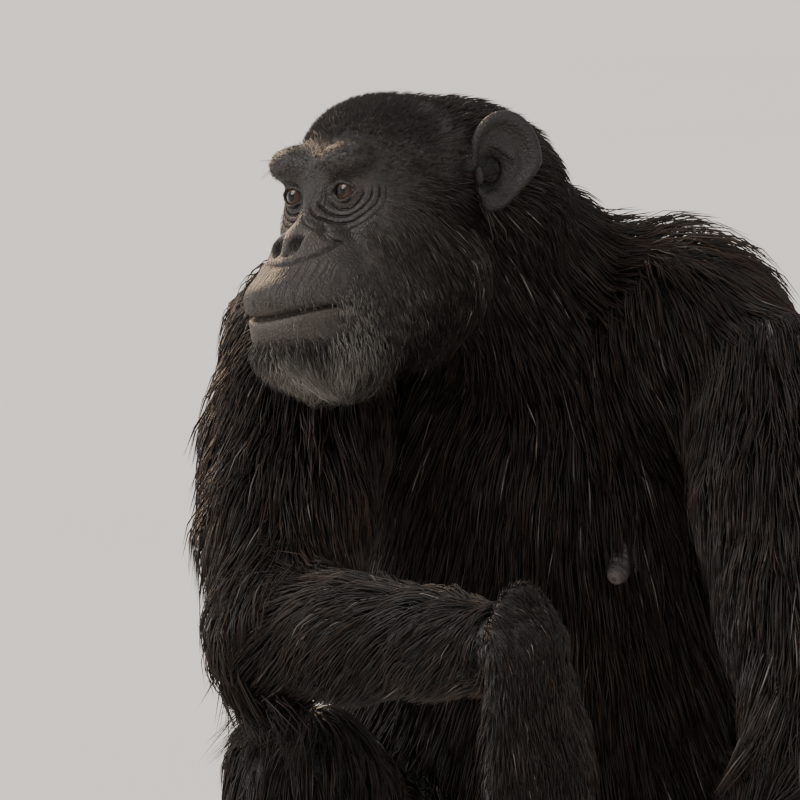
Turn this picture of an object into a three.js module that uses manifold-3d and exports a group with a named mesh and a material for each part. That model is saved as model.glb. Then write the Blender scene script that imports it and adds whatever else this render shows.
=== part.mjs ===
// A chimpanzee, life size, seated on its rump with the knees drawn up, the right elbow
// on the right knee and the head turned to its right.
// Millimetres, +Z up. The animal faces -Y and its left is +X. The origin is the middle
// of the flat where the rump meets the floor.

import * as THREE from 'three';
import { mergeVertices } from 'three/addons/utils/BufferGeometryUtils.js';
import Module from 'manifold-3d';

const wasm = await Module();
wasm.setup();

// Driving sizes
const gap = 0.3;
const floorLevel = 0;
const upperArmLength = 281;
const forearmLength = 247;
const thighLength = 288;
const shinLength = 242;
const palmLength = 108;
const palmWidth = 82;
const fingerLength = 104;
const footLength = 226;
const footWidth = 78;
const toeLength = 58;
const ankleHeight = 58;
const eyeRadius = 11.5;
const earHeight = 64;
const earWidth = 48;
const nippleWidth = 14;
const nippleHeight = 20;

// How far the coat stands off the skin, to its tips
const coatDepth = {
  torso: 19,
  neck: 15,
  head: 11,
  upperArm: 16,
  forearm: 11,
  thigh: 13,
  shin: 9,
};

// The solid core reaches this share of the coat, and flat locks stand out of it to the tips
const coreShare = 0.42;
const lockSizes = {
  torso: { spacing: 64, length: 100, width: 44, thick: 6 },
  neck: { spacing: 44, length: 66, width: 30, thick: 5 },
  head: { spacing: 31, length: 42, width: 24, thick: 3.6 },
  upperArm: { spacing: 60, length: 92, width: 40, thick: 5 },
  forearm: { spacing: 56, length: 80, width: 36, thick: 4.5 },
  thigh: { spacing: 64, length: 90, width: 40, thick: 5 },
  shin: { spacing: 54, length: 70, width: 33, thick: 4 },
};

// Joints and the way each bone points: swing is the angle from straight ahead (-Y)
// towards the animal's left, drop the angle below level, both in degrees
const v = (x, y, z) => new THREE.Vector3(x, y, z);
const rad = THREE.MathUtils.degToRad;

function pointing(swing, drop) {
  const level = Math.cos(rad(drop));
  return v(Math.sin(rad(swing)) * level, -Math.cos(rad(swing)) * level, -Math.sin(rad(drop)));
}

const along = (from, direction, length) => from.clone().addScaledVector(direction, length);

const shoulder = { right: v(-154, -110, 568), left: v(160, -90, 542) };
const hip = { right: v(-75, -30, 95), left: v(75, -30, 95) };
const pose = {
  right: {
    upperArm: pointing(19.5, 37),
    forearm: pointing(63.5, -2.5),
    hand: pointing(88, 84),
    palm: pointing(-108.5, 4),
    curl: 1,
    thigh: pointing(-8, -44),
    shin: pointing(-11, 73.5),
    foot: -7,
  },
  left: {
    upperArm: pointing(32, 47),
    forearm: pointing(-7, 50),
    hand: pointing(0, 30),
    palm: pointing(180, 60),
    curl: 0.6,
    thigh: pointing(52.5, -29),
    shin: pointing(-8, 46),
    foot: 9,
  },
};

const sides = ['right', 'left'];
const joint = {};
for (const side of sides) {
  const elbow = along(shoulder[side], pose[side].upperArm, upperArmLength);
  const wrist = along(elbow, pose[side].forearm, forearmLength);
  const knee = along(hip[side], pose[side].thigh, thighLength);
  const ankle = along(knee, pose[side].shin, shinLength);
  ankle.z = ankleHeight;
  joint[side] = { shoulder: shoulder[side], elbow, wrist, hip: hip[side], knee, ankle };
}

// The head's own frame: its origin is midway between the ears, its face looks along -y
const headAt = v(-32, -170, 680);
const headYaw = -25;
const headRoll = -7;
const headTurn = new THREE.Matrix4().makeRotationFromEuler(
  new THREE.Euler(0, rad(headRoll), rad(headYaw), 'ZYX'));
const headFrame = headTurn.clone().setPosition(headAt);
const headInverse = headFrame.clone().invert();

// Flesh as distance functions: a negative value is inside
const towards = v(0, 0, 0);
const reachOut = v(0, 0, 0);

function cone(a, radiusA, b, radiusB) {
  const axis = b.clone().sub(a);
  const lengthSq = axis.lengthSq();
  return (p) => {
    towards.subVectors(p, a);
    const t = THREE.MathUtils.clamp(towards.dot(axis) / lengthSq, 0, 1);
    return towards.addScaledVector(axis, -t).length() - THREE.MathUtils.lerp(radiusA, radiusB, t);
  };
}

function blob(centre, radii) {
  return (p) => {
    towards.subVectors(p, centre).divide(radii);
    const inner = towards.length();
    reachOut.copy(towards).divide(radii);
    return inner * (inner - 1) / Math.max(reachOut.length(), 1e-6);
  };
}

function chain(points, radii) {
  const bones = [];
  for (let i = 1; i < points.length; i++) {
    bones.push(cone(points[i - 1], radii[i - 1], points[i], radii[i]));
  }
  return bones;
}

function blend(softness, forms) {
  return (p) => {
    let nearest = forms[0](p);
    for (let i = 1; i < forms.length; i++) {
      const next = forms[i](p);
      const mix = Math.max(softness - Math.abs(nearest - next), 0) / softness;
      nearest = Math.min(nearest, next) - mix * mix * softness / 4;
    }
    return nearest;
  };
}

function pair(x, y, z, radii) {
  return [blob(v(x, y, z), radii), blob(v(-x, y, z), radii)];
}

const torsoFlesh = blend(46, [
  blob(v(0, 8, 86), v(116, 98, 98)),
  blob(v(-4, -20, 205), v(126, 108, 112)),
  blob(v(-6, -4, 330), v(131, 104, 112)),
  blob(v(-44, -40, 296), v(106, 92, 108)),
  blob(v(-4, -34, 462), v(132, 94, 112)),
  blob(v(88, -64, 558), v(78, 64, 58)),
  blob(v(-92, -72, 558), v(78, 66, 60)),
  blob(v(40, -18, 571), v(86, 66, 60)),
]);

const neckFlesh = blend(20, [
  cone(v(6, -56, 576), 62, v(-24, -128, 640), 50),
  cone(v(-6, -92, 566), 50, v(-28, -150, 615), 44),
]);

const skullForm = blend(26, [
  blob(v(0, -20, 0), v(56, 76, 46)),
  blob(v(0, -58, 5), v(52, 42, 43)),
  blob(v(0, 32, -22), v(52, 42, 44)),
  blob(v(0, -72, -40), v(44, 32, 44)),
  cone(v(30, -36, -62), 24, v(15, -86, -96), 24),
  cone(v(-30, -36, -62), 24, v(-15, -86, -96), 24),
  ...pair(26, -76, -62, v(22, 28, 26)),
  blob(v(0, -50, -76), v(44, 50, 40)),
]);
const browForm = blend(6, [
  ...pair(26, -102, 12, v(20, 14.5, 11.5)),
  blob(v(0, -97, 10), v(14, 11, 9)),
]);
const faceForm = blend(15, [
  ...pair(27, -87, -13, v(20, 15, 18)),
  ...pair(35, -83, -31, v(19, 20, 15)),
  cone(v(0, -98, -2), 8, v(0, -112, -28), 10),
  blob(v(0, -116, -42), v(21, 15, 11)),
  blob(v(0, -114, -57), v(36, 25, 17)),
  blob(v(0, -114, -70), v(39, 41, 28)),
  blob(v(0, -132, -82), v(33, 30, 15)),
  blob(v(0, -127, -103), v(32, 29, 14)),
  blob(v(0, -104, -110), v(28, 30, 23)),
]);
const headForm = blend(11, [blend(18, [skullForm, faceForm]), browForm]);

const inHead = v(0, 0, 0);
const eyeSpacing = 25.5;
const eyeAt = [v(eyeSpacing, -97, -8), v(-eyeSpacing, -97, -8)];

function headFlesh(p) {
  return headForm(inHead.copy(p).applyMatrix4(headInverse));
}

// The bare face is an oval on the front of the head. The coat deepens behind it, is
// short on the forehead and thins again round the ears
const faceOval = blob(v(0, -126, -52), v(47, 62, 64));
const earAt = v(70, -8, 4);
const earBare = { from: 26, to: 52 };
const forehead = { front: -60, back: 20, above: -10, share: 0.35 };

function headCoat(p) {
  inHead.copy(p).applyMatrix4(headInverse);
  const behindFace = THREE.MathUtils.smoothstep(faceOval(inHead), 4, 24);
  const front = 1 - THREE.MathUtils.smoothstep(inHead.y, forehead.front, forehead.back);
  const high = THREE.MathUtils.smoothstep(inHead.z, forehead.above, -forehead.above);
  const short = 1 - (1 - forehead.share) * front * high;
  inHead.x = Math.abs(inHead.x);
  const nearEar = inHead.distanceTo(earAt);
  const clear = THREE.MathUtils.smoothstep(nearEar, earBare.from, earBare.to);
  return coatDepth.head * behindFace * short * clear;
}

const limbRadii = {
  upperArm: [47, 44, 37, 30],
  forearm: [30, 31, 26, 20],
  thigh: [72, 65, 52, 43],
  shin: [41, 39, 31, 26],
};
const limbSoftness = 14;

function limbFlesh(from, to, radii) {
  const points = radii.map((_, i) => from.clone().lerp(to, i / (radii.length - 1)));
  return blend(limbSoftness, chain(points, radii));
}

// Solids
function solidOf(geometry) {
  geometry.deleteAttribute('uv');
  geometry.deleteAttribute('normal');
  const merged = mergeVertices(geometry, 1e-3);
  const index = merged.index.array;
  const triangles = [];
  for (let i = 0; i < index.length; i += 3) {
    const [a, b, c] = [index[i], index[i + 1], index[i + 2]];
    if (a !== b && b !== c && c !== a) {
      triangles.push(a, b, c);
    }
  }
  const mesh = new wasm.Mesh({
    numProp: 3,
    vertProperties: new Float32Array(merged.attributes.position.array),
    triVerts: new Uint32Array(triangles),
  });
  return new wasm.Manifold(mesh);
}

function largest(solid) {
  const bodies = solid.decompose();
  bodies.sort((a, b) => b.volume() - a.volume());
  return bodies[0];
}

function moveVertices(geometry, place) {
  const position = geometry.attributes.position;
  const vertex = v(0, 0, 0);
  for (let i = 0; i < position.count; i++) {
    vertex.fromBufferAttribute(position, i);
    place(vertex);
    position.setXYZ(i, vertex.x, vertex.y, vertex.z);
  }
  return geometry;
}

// The first place on a ray from inside where the flesh ends
const probe = v(0, 0, 0);
const longestRay = 420;

function rayLength(flesh, level, origin, direction) {
  const depthAt = (distance) => {
    probe.copy(origin).addScaledVector(direction, distance);
    return flesh(probe) - level(probe);
  };
  let inside = 0;
  let outside = 0;
  while (outside < longestRay && depthAt(outside) < 0) {
    inside = outside;
    outside += Math.max(-depthAt(outside) * 0.6, 1.5);
  }
  for (let i = 0; i < 22; i++) {
    const middle = (inside + outside) / 2;
    if (depthAt(middle) < 0) {
      inside = middle;
    } else {
      outside = middle;
    }
  }
  return inside;
}

const alongY = v(0, 1, 0);

// A capsule whose skin is pushed out along its own radii until it meets the flesh
function wrap(from, to, counts, flesh, level) {
  const axis = to.clone().sub(from);
  const half = axis.length() / 2;
  const middle = from.clone().lerp(to, 0.5);
  const turn = new THREE.Quaternion().setFromUnitVectors(alongY, axis.clone().normalize());
  const geometry = new THREE.CapsuleGeometry(1, 2 * half, counts.cap, counts.round, counts.rows);
  return solidOf(moveVertices(geometry, (vertex) => {
    const origin = v(0, THREE.MathUtils.clamp(vertex.y, -half, half), 0);
    const direction = vertex.clone().sub(origin).normalize().applyQuaternion(turn);
    origin.applyQuaternion(turn).add(middle);
    const distance = rayLength(flesh, level, origin, direction);
    vertex.copy(origin).addScaledVector(direction, distance);
  }));
}

// A capsule bent along a curve, with its width, thickness and side direction given
function tube(points, radii, counts, flatness = 1, sideways = v(1, 0, 0)) {
  const curve = new THREE.CatmullRomCurve3(points);
  const geometry = new THREE.CapsuleGeometry(1, 2, counts.cap, counts.round, counts.rows);
  return solidOf(moveVertices(geometry, (vertex) => {
    const level = THREE.MathUtils.clamp(vertex.y, -1, 1);
    const over = vertex.y - level;
    const t = (level + 1) / 2;
    const place = t * (radii.length - 1);
    const first = Math.min(Math.floor(place), radii.length - 2);
    const radius = THREE.MathUtils.lerp(radii[first], radii[first + 1], place - first);
    const tangent = curve.getTangentAt(t);
    const thick = tangent.clone().cross(sideways).normalize();
    const wide = thick.clone().cross(tangent).normalize();
    const offset = wide.multiplyScalar(vertex.x * radius);
    offset.addScaledVector(thick, -vertex.z * radius * flatness);
    offset.addScaledVector(tangent, over * radius * Math.min(1, flatness * 1.4));
    vertex.copy(curve.getPointAt(t)).add(offset);
  }));
}

// The same solid at its own size and grown by the gap, which cuts its neighbours
function bothSizes(make) {
  return { body: make(0), room: make(gap) };
}

function keepSide(solid, point, normal) {
  return solid.trimByPlane([normal.x, normal.y, normal.z], point.dot(normal) + gap / 2);
}

function bisector(before, after) {
  return before.clone().add(after).normalize();
}

const counts = {
  torso: { round: 22, rows: 9, cap: 4 },
  neck: { round: 14, rows: 2, cap: 2 },
  thigh: { round: 14, rows: 5, cap: 3 },
  shin: { round: 12, rows: 5, cap: 2 },
  upperArm: { round: 12, rows: 5, cap: 3 },
  forearm: { round: 12, rows: 5, cap: 2 },
  palm: { round: 9, rows: 3, cap: 1 },
  finger: { round: 5, rows: 3, cap: 1 },
  wrist: { round: 9, rows: 1, cap: 2 },
  foot: { round: 9, rows: 4, cap: 2 },
  toe: { round: 5, rows: 2, cap: 1 },
};

const floorFade = 26;

function coatOf(depth) {
  return (p) => depth * THREE.MathUtils.smoothstep(p.z, 0, floorFade);
}

// Every part with a coat: its flesh, how deep its coat is at a place, and which way it lies
const coated = {};

// Torso, neck and head
const spine = { low: v(0, 0, 100), high: v(6, -42, 522) };

const neckBase = v(6, -66, 600);
coated.torso = {
  kind: 'torso',
  flesh: torsoFlesh,
  coat: coatOf(coatDepth.torso),
  lie: (p) => v((p.x - neckBase.x) * 0.006, (p.y - neckBase.y) * 0.008, -1),
};
coated.neck = {
  kind: 'neck',
  flesh: neckFlesh,
  coat: () => coatDepth.neck,
  lie: (p) => v((p.x - neckBase.x) * 0.012, 0.7, -0.7),
};

function coreOf(name) {
  const { coat } = coated[name];
  return (p) => coreShare * coat(p);
}

function torso(extra) {
  const core = coreOf('torso');
  const body = wrap(spine.low, spine.high, counts.torso, torsoFlesh, (p) => core(p) + extra);
  return body.trimByPlane([0, 0, 1], floorLevel);
}

function neck(extra) {
  const core = coreOf('neck');
  const level = (p) => core(p) + extra;
  return wrap(v(0, -70, 596), v(-26, -134, 640), counts.neck, neckFlesh, level);
}

// Rays leave the middle of the head and crowd towards the face
const headCentre = v(0, -38, -34);
const faceCrowding = 0.62;
const headColumns = 34;
const headRings = 24;

const cheekHeight = -20;
coated.head = {
  kind: 'head',
  flesh: headFlesh,
  coat: headCoat,
  lie: (p) => {
    const low = inHead.copy(p).applyMatrix4(headInverse).z < cheekHeight;
    return (low ? v(0, 0.55, -0.85) : v(0, 1, -0.1)).applyMatrix4(headTurn);
  },
};

function head(extra) {
  const core = coreOf('head');
  const origin = headCentre.clone().applyMatrix4(headFrame);
  const geometry = new THREE.SphereGeometry(1, headColumns, headRings);
  geometry.rotateX(Math.PI / 2);
  geometry.rotateZ(-Math.PI / 2);
  const wrapped = moveVertices(geometry, (vertex) => {
    vertex.y -= faceCrowding;
    const direction = vertex.clone().normalize().applyMatrix4(headTurn);
    const level = (p) => core(p) + extra;
    const distance = rayLength(headFlesh, level, origin, direction);
    vertex.copy(origin).addScaledVector(direction, distance);
  });
  return solidOf(wrapped);
}

function inHeadFrame(geometry) {
  return solidOf(geometry.applyMatrix4(headFrame));
}

const lid = { ring: 10.4, roll: 3, flat: 0.7, forward: 7 };

function lids(centre) {
  const geometry = new THREE.TorusGeometry(lid.ring, lid.roll, 5, 12);
  geometry.scale(1.12, lid.flat, 1);
  geometry.rotateX(Math.PI / 2);
  geometry.translate(centre.x, centre.y - lid.forward, centre.z);
  return inHeadFrame(geometry);
}

function eyeball(centre, radius) {
  const geometry = new THREE.SphereGeometry(radius, 12, 8);
  geometry.rotateX(Math.PI / 2);
  geometry.translate(centre.x, centre.y, centre.z);
  return inHeadFrame(geometry);
}

const nostril = { spacing: 8, behind: -90, height: -38, size: v(5.4, 6, 5), tilt: 24 };

function nostrilHole(direction) {
  const geometry = new THREE.SphereGeometry(1, 8, 6);
  geometry.scale(nostril.size.x, nostril.size.y, nostril.size.z);
  geometry.rotateY(rad(-nostril.tilt * direction));
  const inner = v(direction * nostril.spacing, nostril.behind, nostril.height);
  const depth = rayLength(headForm, () => 0, inner, v(0, -1, 0));
  geometry.translate(inner.x, inner.y - depth, inner.z);
  return inHeadFrame(geometry);
}

const mouth = { corner: v(34, -120, -78), quarter: v(25, -146, -82), front: v(0, -161, -85) };
const mouthDepth = 7;
const lipGap = 1.6;

function mouthLine() {
  const mirrored = (p) => v(-p.x, p.y, p.z);
  const route = [mouth.corner, mouth.quarter, mouth.front, mirrored(mouth.quarter),
    mirrored(mouth.corner)].map((p) => p.clone().applyMatrix4(headFrame));
  const upright = v(0, 0, 1).applyMatrix4(headTurn);
  const radii = [0.5, 0.5, 0.5].map((share) => share * lipGap);
  const shape = { round: 4, rows: 8, cap: 1 };
  return tube(route, radii, shape, 2 * mouthDepth / lipGap, upright);
}

// An ear is a dish, flared out and forward, hollowed on the side it hears with
const earFlare = 40;
const earThickness = 7.5;

function ear(side, extra) {
  const direction = side === 'left' ? 1 : -1;
  const outer = new THREE.SphereGeometry(1, 15, 7);
  outer.scale(earWidth / 2 + extra, earThickness + extra, earHeight / 2 + extra);
  const hollow = new THREE.SphereGeometry(1, 12, 6);
  hollow.scale(earWidth / 2 - 5, earThickness, earHeight / 2 - 6);
  hollow.translate(-2, -earThickness * 0.75, -1);
  const solids = [outer, hollow].map((geometry) => {
    geometry.rotateZ(rad(90 - earFlare) * 1);
    if (direction < 0) {
      geometry.scale(-1, 1, 1);
      geometry.index.array.reverse();
    }
    geometry.translate(direction * earAt.x, earAt.y, earAt.z);
    return inHeadFrame(geometry);
  });
  return solids[0].subtract(solids[1]);
}

// Limbs, whose coat thins by this share at the far end
const limbCoatEnd = { upperArm: 0, forearm: 0.5, thigh: 0.2, shin: 0.5 };

// The coat lies down each limb, but up the forearm to the elbow, and hangs a little
const coatLie = {
  upperArm: { along: 1, hang: 0.35 },
  forearm: { along: -1, hang: 0.6 },
  thigh: { along: 1, hang: 0.4 },
  shin: { along: 1, hang: 0 },
};

function limb(name, kind, from, to) {
  const flesh = limbFlesh(from, to, limbRadii[kind]);
  const depth = coatOf(coatDepth[kind]);
  const thinned = limbCoatEnd[kind];
  const bone = new THREE.Line3(from, to);
  const coat = (p) => depth(p) * (1 - thinned * bone.closestPointToPointParameter(p, true) ** 2);
  const way = to.clone().sub(from).normalize();
  const { along: share, hang } = coatLie[kind];
  coated[name] = { kind, flesh, coat, lie: () => v(0, 0, -hang).addScaledVector(way, share) };
  const core = coreOf(name);
  return bothSizes((extra) => wrap(from, to, counts[kind], flesh, (p) => core(p) + extra));
}

// A finger bends a little more at each knuckle
function digit(base, forward, curlTo, length, bends) {
  const shares = [0.45, 0.32, 0.23];
  const points = [base.clone()];
  let angle = 0;
  shares.forEach((share, i) => {
    angle += bends[i];
    const way = forward.clone().multiplyScalar(Math.cos(rad(angle)));
    way.addScaledVector(curlTo, Math.sin(rad(angle)));
    points.push(along(points[i], way.normalize(), length * share));
  });
  return points;
}

const fingers = [
  { across: 0.36, length: 0.9, bends: [10, 26, 18] },
  { across: 0.12, length: 1, bends: [14, 28, 18] },
  { across: -0.12, length: 0.95, bends: [18, 30, 20] },
  { across: -0.36, length: 0.78, bends: [22, 32, 22] },
];
const fingerRadii = [10, 9.5, 8.5, 6.5];
const thumbRadii = [13, 10.5, 8, 6];
const wristRadius = 26;
const wristReach = 44;

function hand(side) {
  const { wrist } = joint[side];
  const forward = pose[side].hand.clone();
  const palmar = pose[side].palm.clone();
  palmar.addScaledVector(forward, -palmar.dot(forward)).normalize();
  const thumbward = forward.clone().cross(palmar).multiplyScalar(side === 'right' ? 1 : -1);
  return bothSizes((extra) => {
    const grown = (radii) => radii.map((r) => r + extra);
    const knuckles = along(wrist, forward, palmLength);
    const palmPoints = [along(wrist, forward, -14), along(wrist, forward, palmLength * 0.4),
      along(wrist, forward, palmLength * 0.75), along(knuckles, forward, -4)];
    const palmRadii = grown([24, palmWidth * 0.42, palmWidth * 0.5, palmWidth * 0.46]);
    const carpus = along(wrist, forward, wristReach);
    const wristForm = cone(wrist, wristRadius, carpus, 0.7 * wristRadius);
    let solid = tube(palmPoints, palmRadii, counts.palm, 0.44, thumbward);
    solid = solid.add(wrap(wrist, carpus, counts.wrist, wristForm, () => extra));
    for (const finger of fingers) {
      const base = along(knuckles, thumbward, finger.across * palmWidth);
      base.addScaledVector(forward, -10);
      const bends = finger.bends.map((bend) => bend * pose[side].curl);
      const points = digit(base, forward, palmar, finger.length * fingerLength, bends);
      solid = solid.add(tube(points, grown(fingerRadii), counts.finger, 1, thumbward));
    }
    const thumbBase = along(along(wrist, forward, 22), thumbward, 20);
    const thumbWay = forward.clone().addScaledVector(thumbward, 0.55).normalize();
    const thumb = digit(thumbBase, thumbWay, palmar, 84, [16, 10, 10]);
    return solid.add(tube(thumb, grown(thumbRadii), counts.finger, 1, thumbward));
  });
}

const toes = [
  { across: 0.2, length: 1 },
  { across: 0.02, length: 1.02 },
  { across: -0.16, length: 0.95 },
  { across: -0.33, length: 0.84 },
];
const toeRadii = [10, 9.5, 8, 6.5];

function foot(side) {
  const { ankle } = joint[side];
  const forward = pointing(pose[side].foot, 0);
  const inward = v(0, 0, 1).cross(forward).multiplyScalar(side === 'right' ? 1 : -1);
  const place = (ahead, across, height) => {
    const point = along(along(ankle, forward, ahead), inward, across);
    point.z = height;
    return point;
  };
  const heelBack = 46;
  const ball = footLength - heelBack - toeLength;
  return bothSizes((extra) => {
    const grown = (radii) => radii.map((r) => r + extra);
    const sole = tube([place(-heelBack + 24, 0, 25), place(16, 0, 27), place(70, 0, 24),
      place(ball, 0, 17)], grown([27, 30, footWidth * 0.46, footWidth * 0.5]),
    counts.foot, 0.72, inward);
    const instep = cone(place(0, 0, ankle.z), 27, place(58, 4, 28), 22);
    let solid = sole.add(wrap(place(0, 0, ankle.z), place(58, 4, 28), counts.toe,
      instep, () => extra));
    for (const toe of toes) {
      const base = place(ball - 6, toe.across * footWidth, 15);
      const reach = toe.length * toeLength;
      const points = digit(base, forward, v(0, 0, -1), reach + 8, [0, 8, 4]);
      solid = solid.add(tube(points, grown(toeRadii), counts.toe, 1, inward));
    }
    const bigToeWay = forward.clone().addScaledVector(inward, 0.75).normalize();
    const bigToe = digit(place(34, 22, 19), bigToeWay, v(0, 0, -1), 88, [0, 6, 3]);
    solid = solid.add(tube(bigToe, grown([17, 14, 12, 9]), counts.toe, 1, inward));
    return solid.trimByPlane([0, 0, 1], floorLevel);
  });
}

const nippleBehind = { left: v(66, -20, 426), right: v(-72, -20, 398) };

// A nipple stands on the front of the torso where a level ray comes out of it
function nipple(side, extra) {
  const geometry = new THREE.SphereGeometry(1, 10, 8);
  geometry.scale(nippleWidth / 2 + extra, nippleWidth / 2 + extra, nippleHeight / 2 + extra);
  const ahead = v(0, -1, 0);
  const inner = nippleBehind[side];
  const depth = rayLength(torsoFlesh, coreOf('torso'), inner, ahead);
  const at = along(inner, ahead, depth);
  geometry.translate(at.x, at.y, at.z);
  return solidOf(geometry);
}

// Colours and finish
const looks = {
  coat: { color: 0x1d1713, roughness: 0.8 },
  face: { color: 0x4a3a30, roughness: 0.6 },
  ear: { color: 0x3d2a1f, roughness: 0.6 },
  eye: { color: 0x2a1508, roughness: 0.1 },
  hand: { color: 0x2f2621, roughness: 0.65 },
  nipple: { color: 0x6b5a54, roughness: 0.6 },
};

const chimpanzee = new THREE.Group();
const nodes = [];

function meshOf(name, solid, look) {
  const mesh = solid.getMesh();
  const geometry = new THREE.BufferGeometry();
  geometry.setAttribute('position', new THREE.BufferAttribute(mesh.vertProperties, 3));
  geometry.setIndex(new THREE.BufferAttribute(mesh.triVerts, 1));
  geometry.computeVertexNormals();
  const material = new THREE.MeshStandardMaterial({ ...look, metalness: 0 });
  const result = new THREE.Mesh(geometry, material);
  result.name = name;
  return result;
}

// Each node is cut clear of those made before it
function place(name, sizes, look, trim = (solid) => solid) {
  let { body } = sizes;
  for (const node of nodes) {
    body = body.subtract(node.room);
  }
  nodes.push({ name, look, solid: largest(trim(body)), room: trim(sizes.room) });
}

place('torso', bothSizes(torso), looks.coat);

let headSolid = head(0);
for (const centre of eyeAt) {
  headSolid = headSolid.add(lids(centre));
}
for (const centre of eyeAt) {
  headSolid = headSolid.subtract(eyeball(centre, eyeRadius + gap));
}
headSolid = headSolid.subtract(nostrilHole(1)).subtract(nostrilHole(-1)).subtract(mouthLine());
place('head', { body: headSolid, room: head(gap) }, looks.face);
place('neck', bothSizes(neck), looks.coat);

for (const side of sides) {
  const { hip: top, knee, ankle } = joint[side];
  const kneeCut = bisector(pose[side].thigh, pose[side].shin);
  const aboveKnee = kneeCut.clone().negate();
  const overFoot = v(0, 0, 1);
  place(`thigh_${side}`, limb(`thigh_${side}`, 'thigh', top, knee), looks.coat,
    (solid) => keepSide(solid, knee, aboveKnee).trimByPlane([0, 0, 1], floorLevel));
  place(`shin_${side}`, limb(`shin_${side}`, 'shin', knee, ankle), looks.coat,
    (solid) => keepSide(keepSide(solid, knee, kneeCut), ankle, overFoot));
  const underShin = overFoot.clone().negate();
  place(`foot_${side}`, foot(side), looks.hand, (solid) => keepSide(solid, ankle, underShin));
}

for (const side of sides) {
  const { shoulder: top, elbow, wrist } = joint[side];
  const elbowCut = bisector(pose[side].upperArm, pose[side].forearm);
  const beforeElbow = elbowCut.clone().negate();
  place(`upper_arm_${side}`, limb(`upper_arm_${side}`, 'upperArm', top, elbow), looks.coat,
    (solid) => keepSide(solid, elbow, beforeElbow));
  place(`hand_${side}`, hand(side), looks.hand);
  place(`forearm_${side}`, limb(`forearm_${side}`, 'forearm', elbow, wrist), looks.coat,
    (solid) => keepSide(solid, elbow, elbowCut));
}

for (const side of sides) {
  place(`ear_${side}`, bothSizes((extra) => ear(side, extra)), looks.ear);
  place(`nipple_${side}`, bothSizes((extra) => nipple(side, extra)), looks.nipple);
}

// Locks: each starts under the core, comes out at a low angle and follows the core's
// surface along the lie of the coat to a pointed tip
function overCore(p) {
  let nearest = Infinity;
  for (const part of Object.values(coated)) {
    nearest = Math.min(nearest, part.flesh(p) - coreShare * part.coat(p));
  }
  return nearest;
}

const slopeStep = 2;

function outward(p) {
  const slope = ['x', 'y', 'z'].map((axis) => {
    const ahead = p.clone();
    const behind = p.clone();
    ahead[axis] += slopeStep;
    behind[axis] -= slopeStep;
    return overCore(ahead) - overCore(behind);
  });
  return v(...slope).normalize();
}

function settle(p, height) {
  for (let i = 0; i < 3; i++) {
    p.addScaledVector(outward(p), height - overCore(p));
  }
  return p;
}

// A small seeded random source
const seed = 20302;

function randomSource(start) {
  let state = start;
  return () => {
    state = (state + 0x6d2b79f5) | 0;
    let mixed = Math.imul(state ^ (state >>> 15), 1 | state);
    mixed = (mixed + Math.imul(mixed ^ (mixed >>> 7), 61 | mixed)) ^ mixed;
    return ((mixed ^ (mixed >>> 14)) >>> 0) / 2 ** 32;
  };
}

const random = randomSource(seed);
const vary = (spread) => 1 + spread * (2 * random() - 1);

// Places spread evenly over a solid's faces, at least the spacing apart
const tries = 2400;

function spreadOver(solid, spacing, accept) {
  const { vertProperties, triVerts } = solid.getMesh();
  const corner = (i) => v().fromArray(vertProperties, 3 * i);
  const faces = [];
  let area = 0;
  for (let i = 0; i < triVerts.length; i += 3) {
    const face = new THREE.Triangle(corner(triVerts[i]), corner(triVerts[i + 1]),
      corner(triVerts[i + 2]));
    area += face.getArea();
    faces.push({ face, upTo: area });
  }
  const places = [];
  for (let i = 0; i < tries; i++) {
    const draw = random() * area;
    const { face } = faces.find((entry) => entry.upTo >= draw);
    const a = Math.sqrt(random());
    const b = random();
    const spot = face.a.clone().multiplyScalar(1 - a);
    spot.addScaledVector(face.b, a * (1 - b)).addScaledVector(face.c, a * b);
    if (places.every((other) => other.distanceTo(spot) > spacing) && accept(spot)) {
      places.push(spot);
    }
  }
  return places;
}

const lockSides = 3;
const lockSteps = 2;
const rootDepth = 7;
const lockReach = [0, 0.42, 1];
const lockLift = [0, 0.75, 1];
const lockWidths = [0.36, 0.55, 0];
const lockThickness = [0.5, 0.5, 0];
const swayAngle = 14;
const lowestLock = 12;

function lockStations(part, root) {
  const size = lockSizes[part.kind];
  const length = size.length * vary(0.2);
  const width = size.width * vary(0.15);
  const sway = rad(swayAngle * (2 * random() - 1));
  const tipHeight = (1 - coreShare) * part.coat(root) * vary(0.2) + 2;
  const stations = [];
  const at = root.clone();
  for (let i = 0; i <= lockSteps; i++) {
    const height = i === 0 ? -rootDepth : tipHeight * lockLift[i];
    settle(at, height);
    const normal = outward(at);
    const way = part.lie(at).projectOnPlane(normal).normalize().applyAxisAngle(normal, sway);
    stations.push({
      at: at.clone(),
      normal,
      side: way.clone().cross(normal),
      halfWidth: width * lockWidths[i],
      halfThick: size.thick * lockThickness[i],
    });
    at.addScaledVector(way, length * ((lockReach[i + 1] ?? 1) - lockReach[i]));
  }
  return stations;
}

// How much wider and longer a lock is made to leave the gap round it
const roomFor = { width: 10 * gap, thick: 2.4 * gap, tip: 14 * gap };

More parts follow.
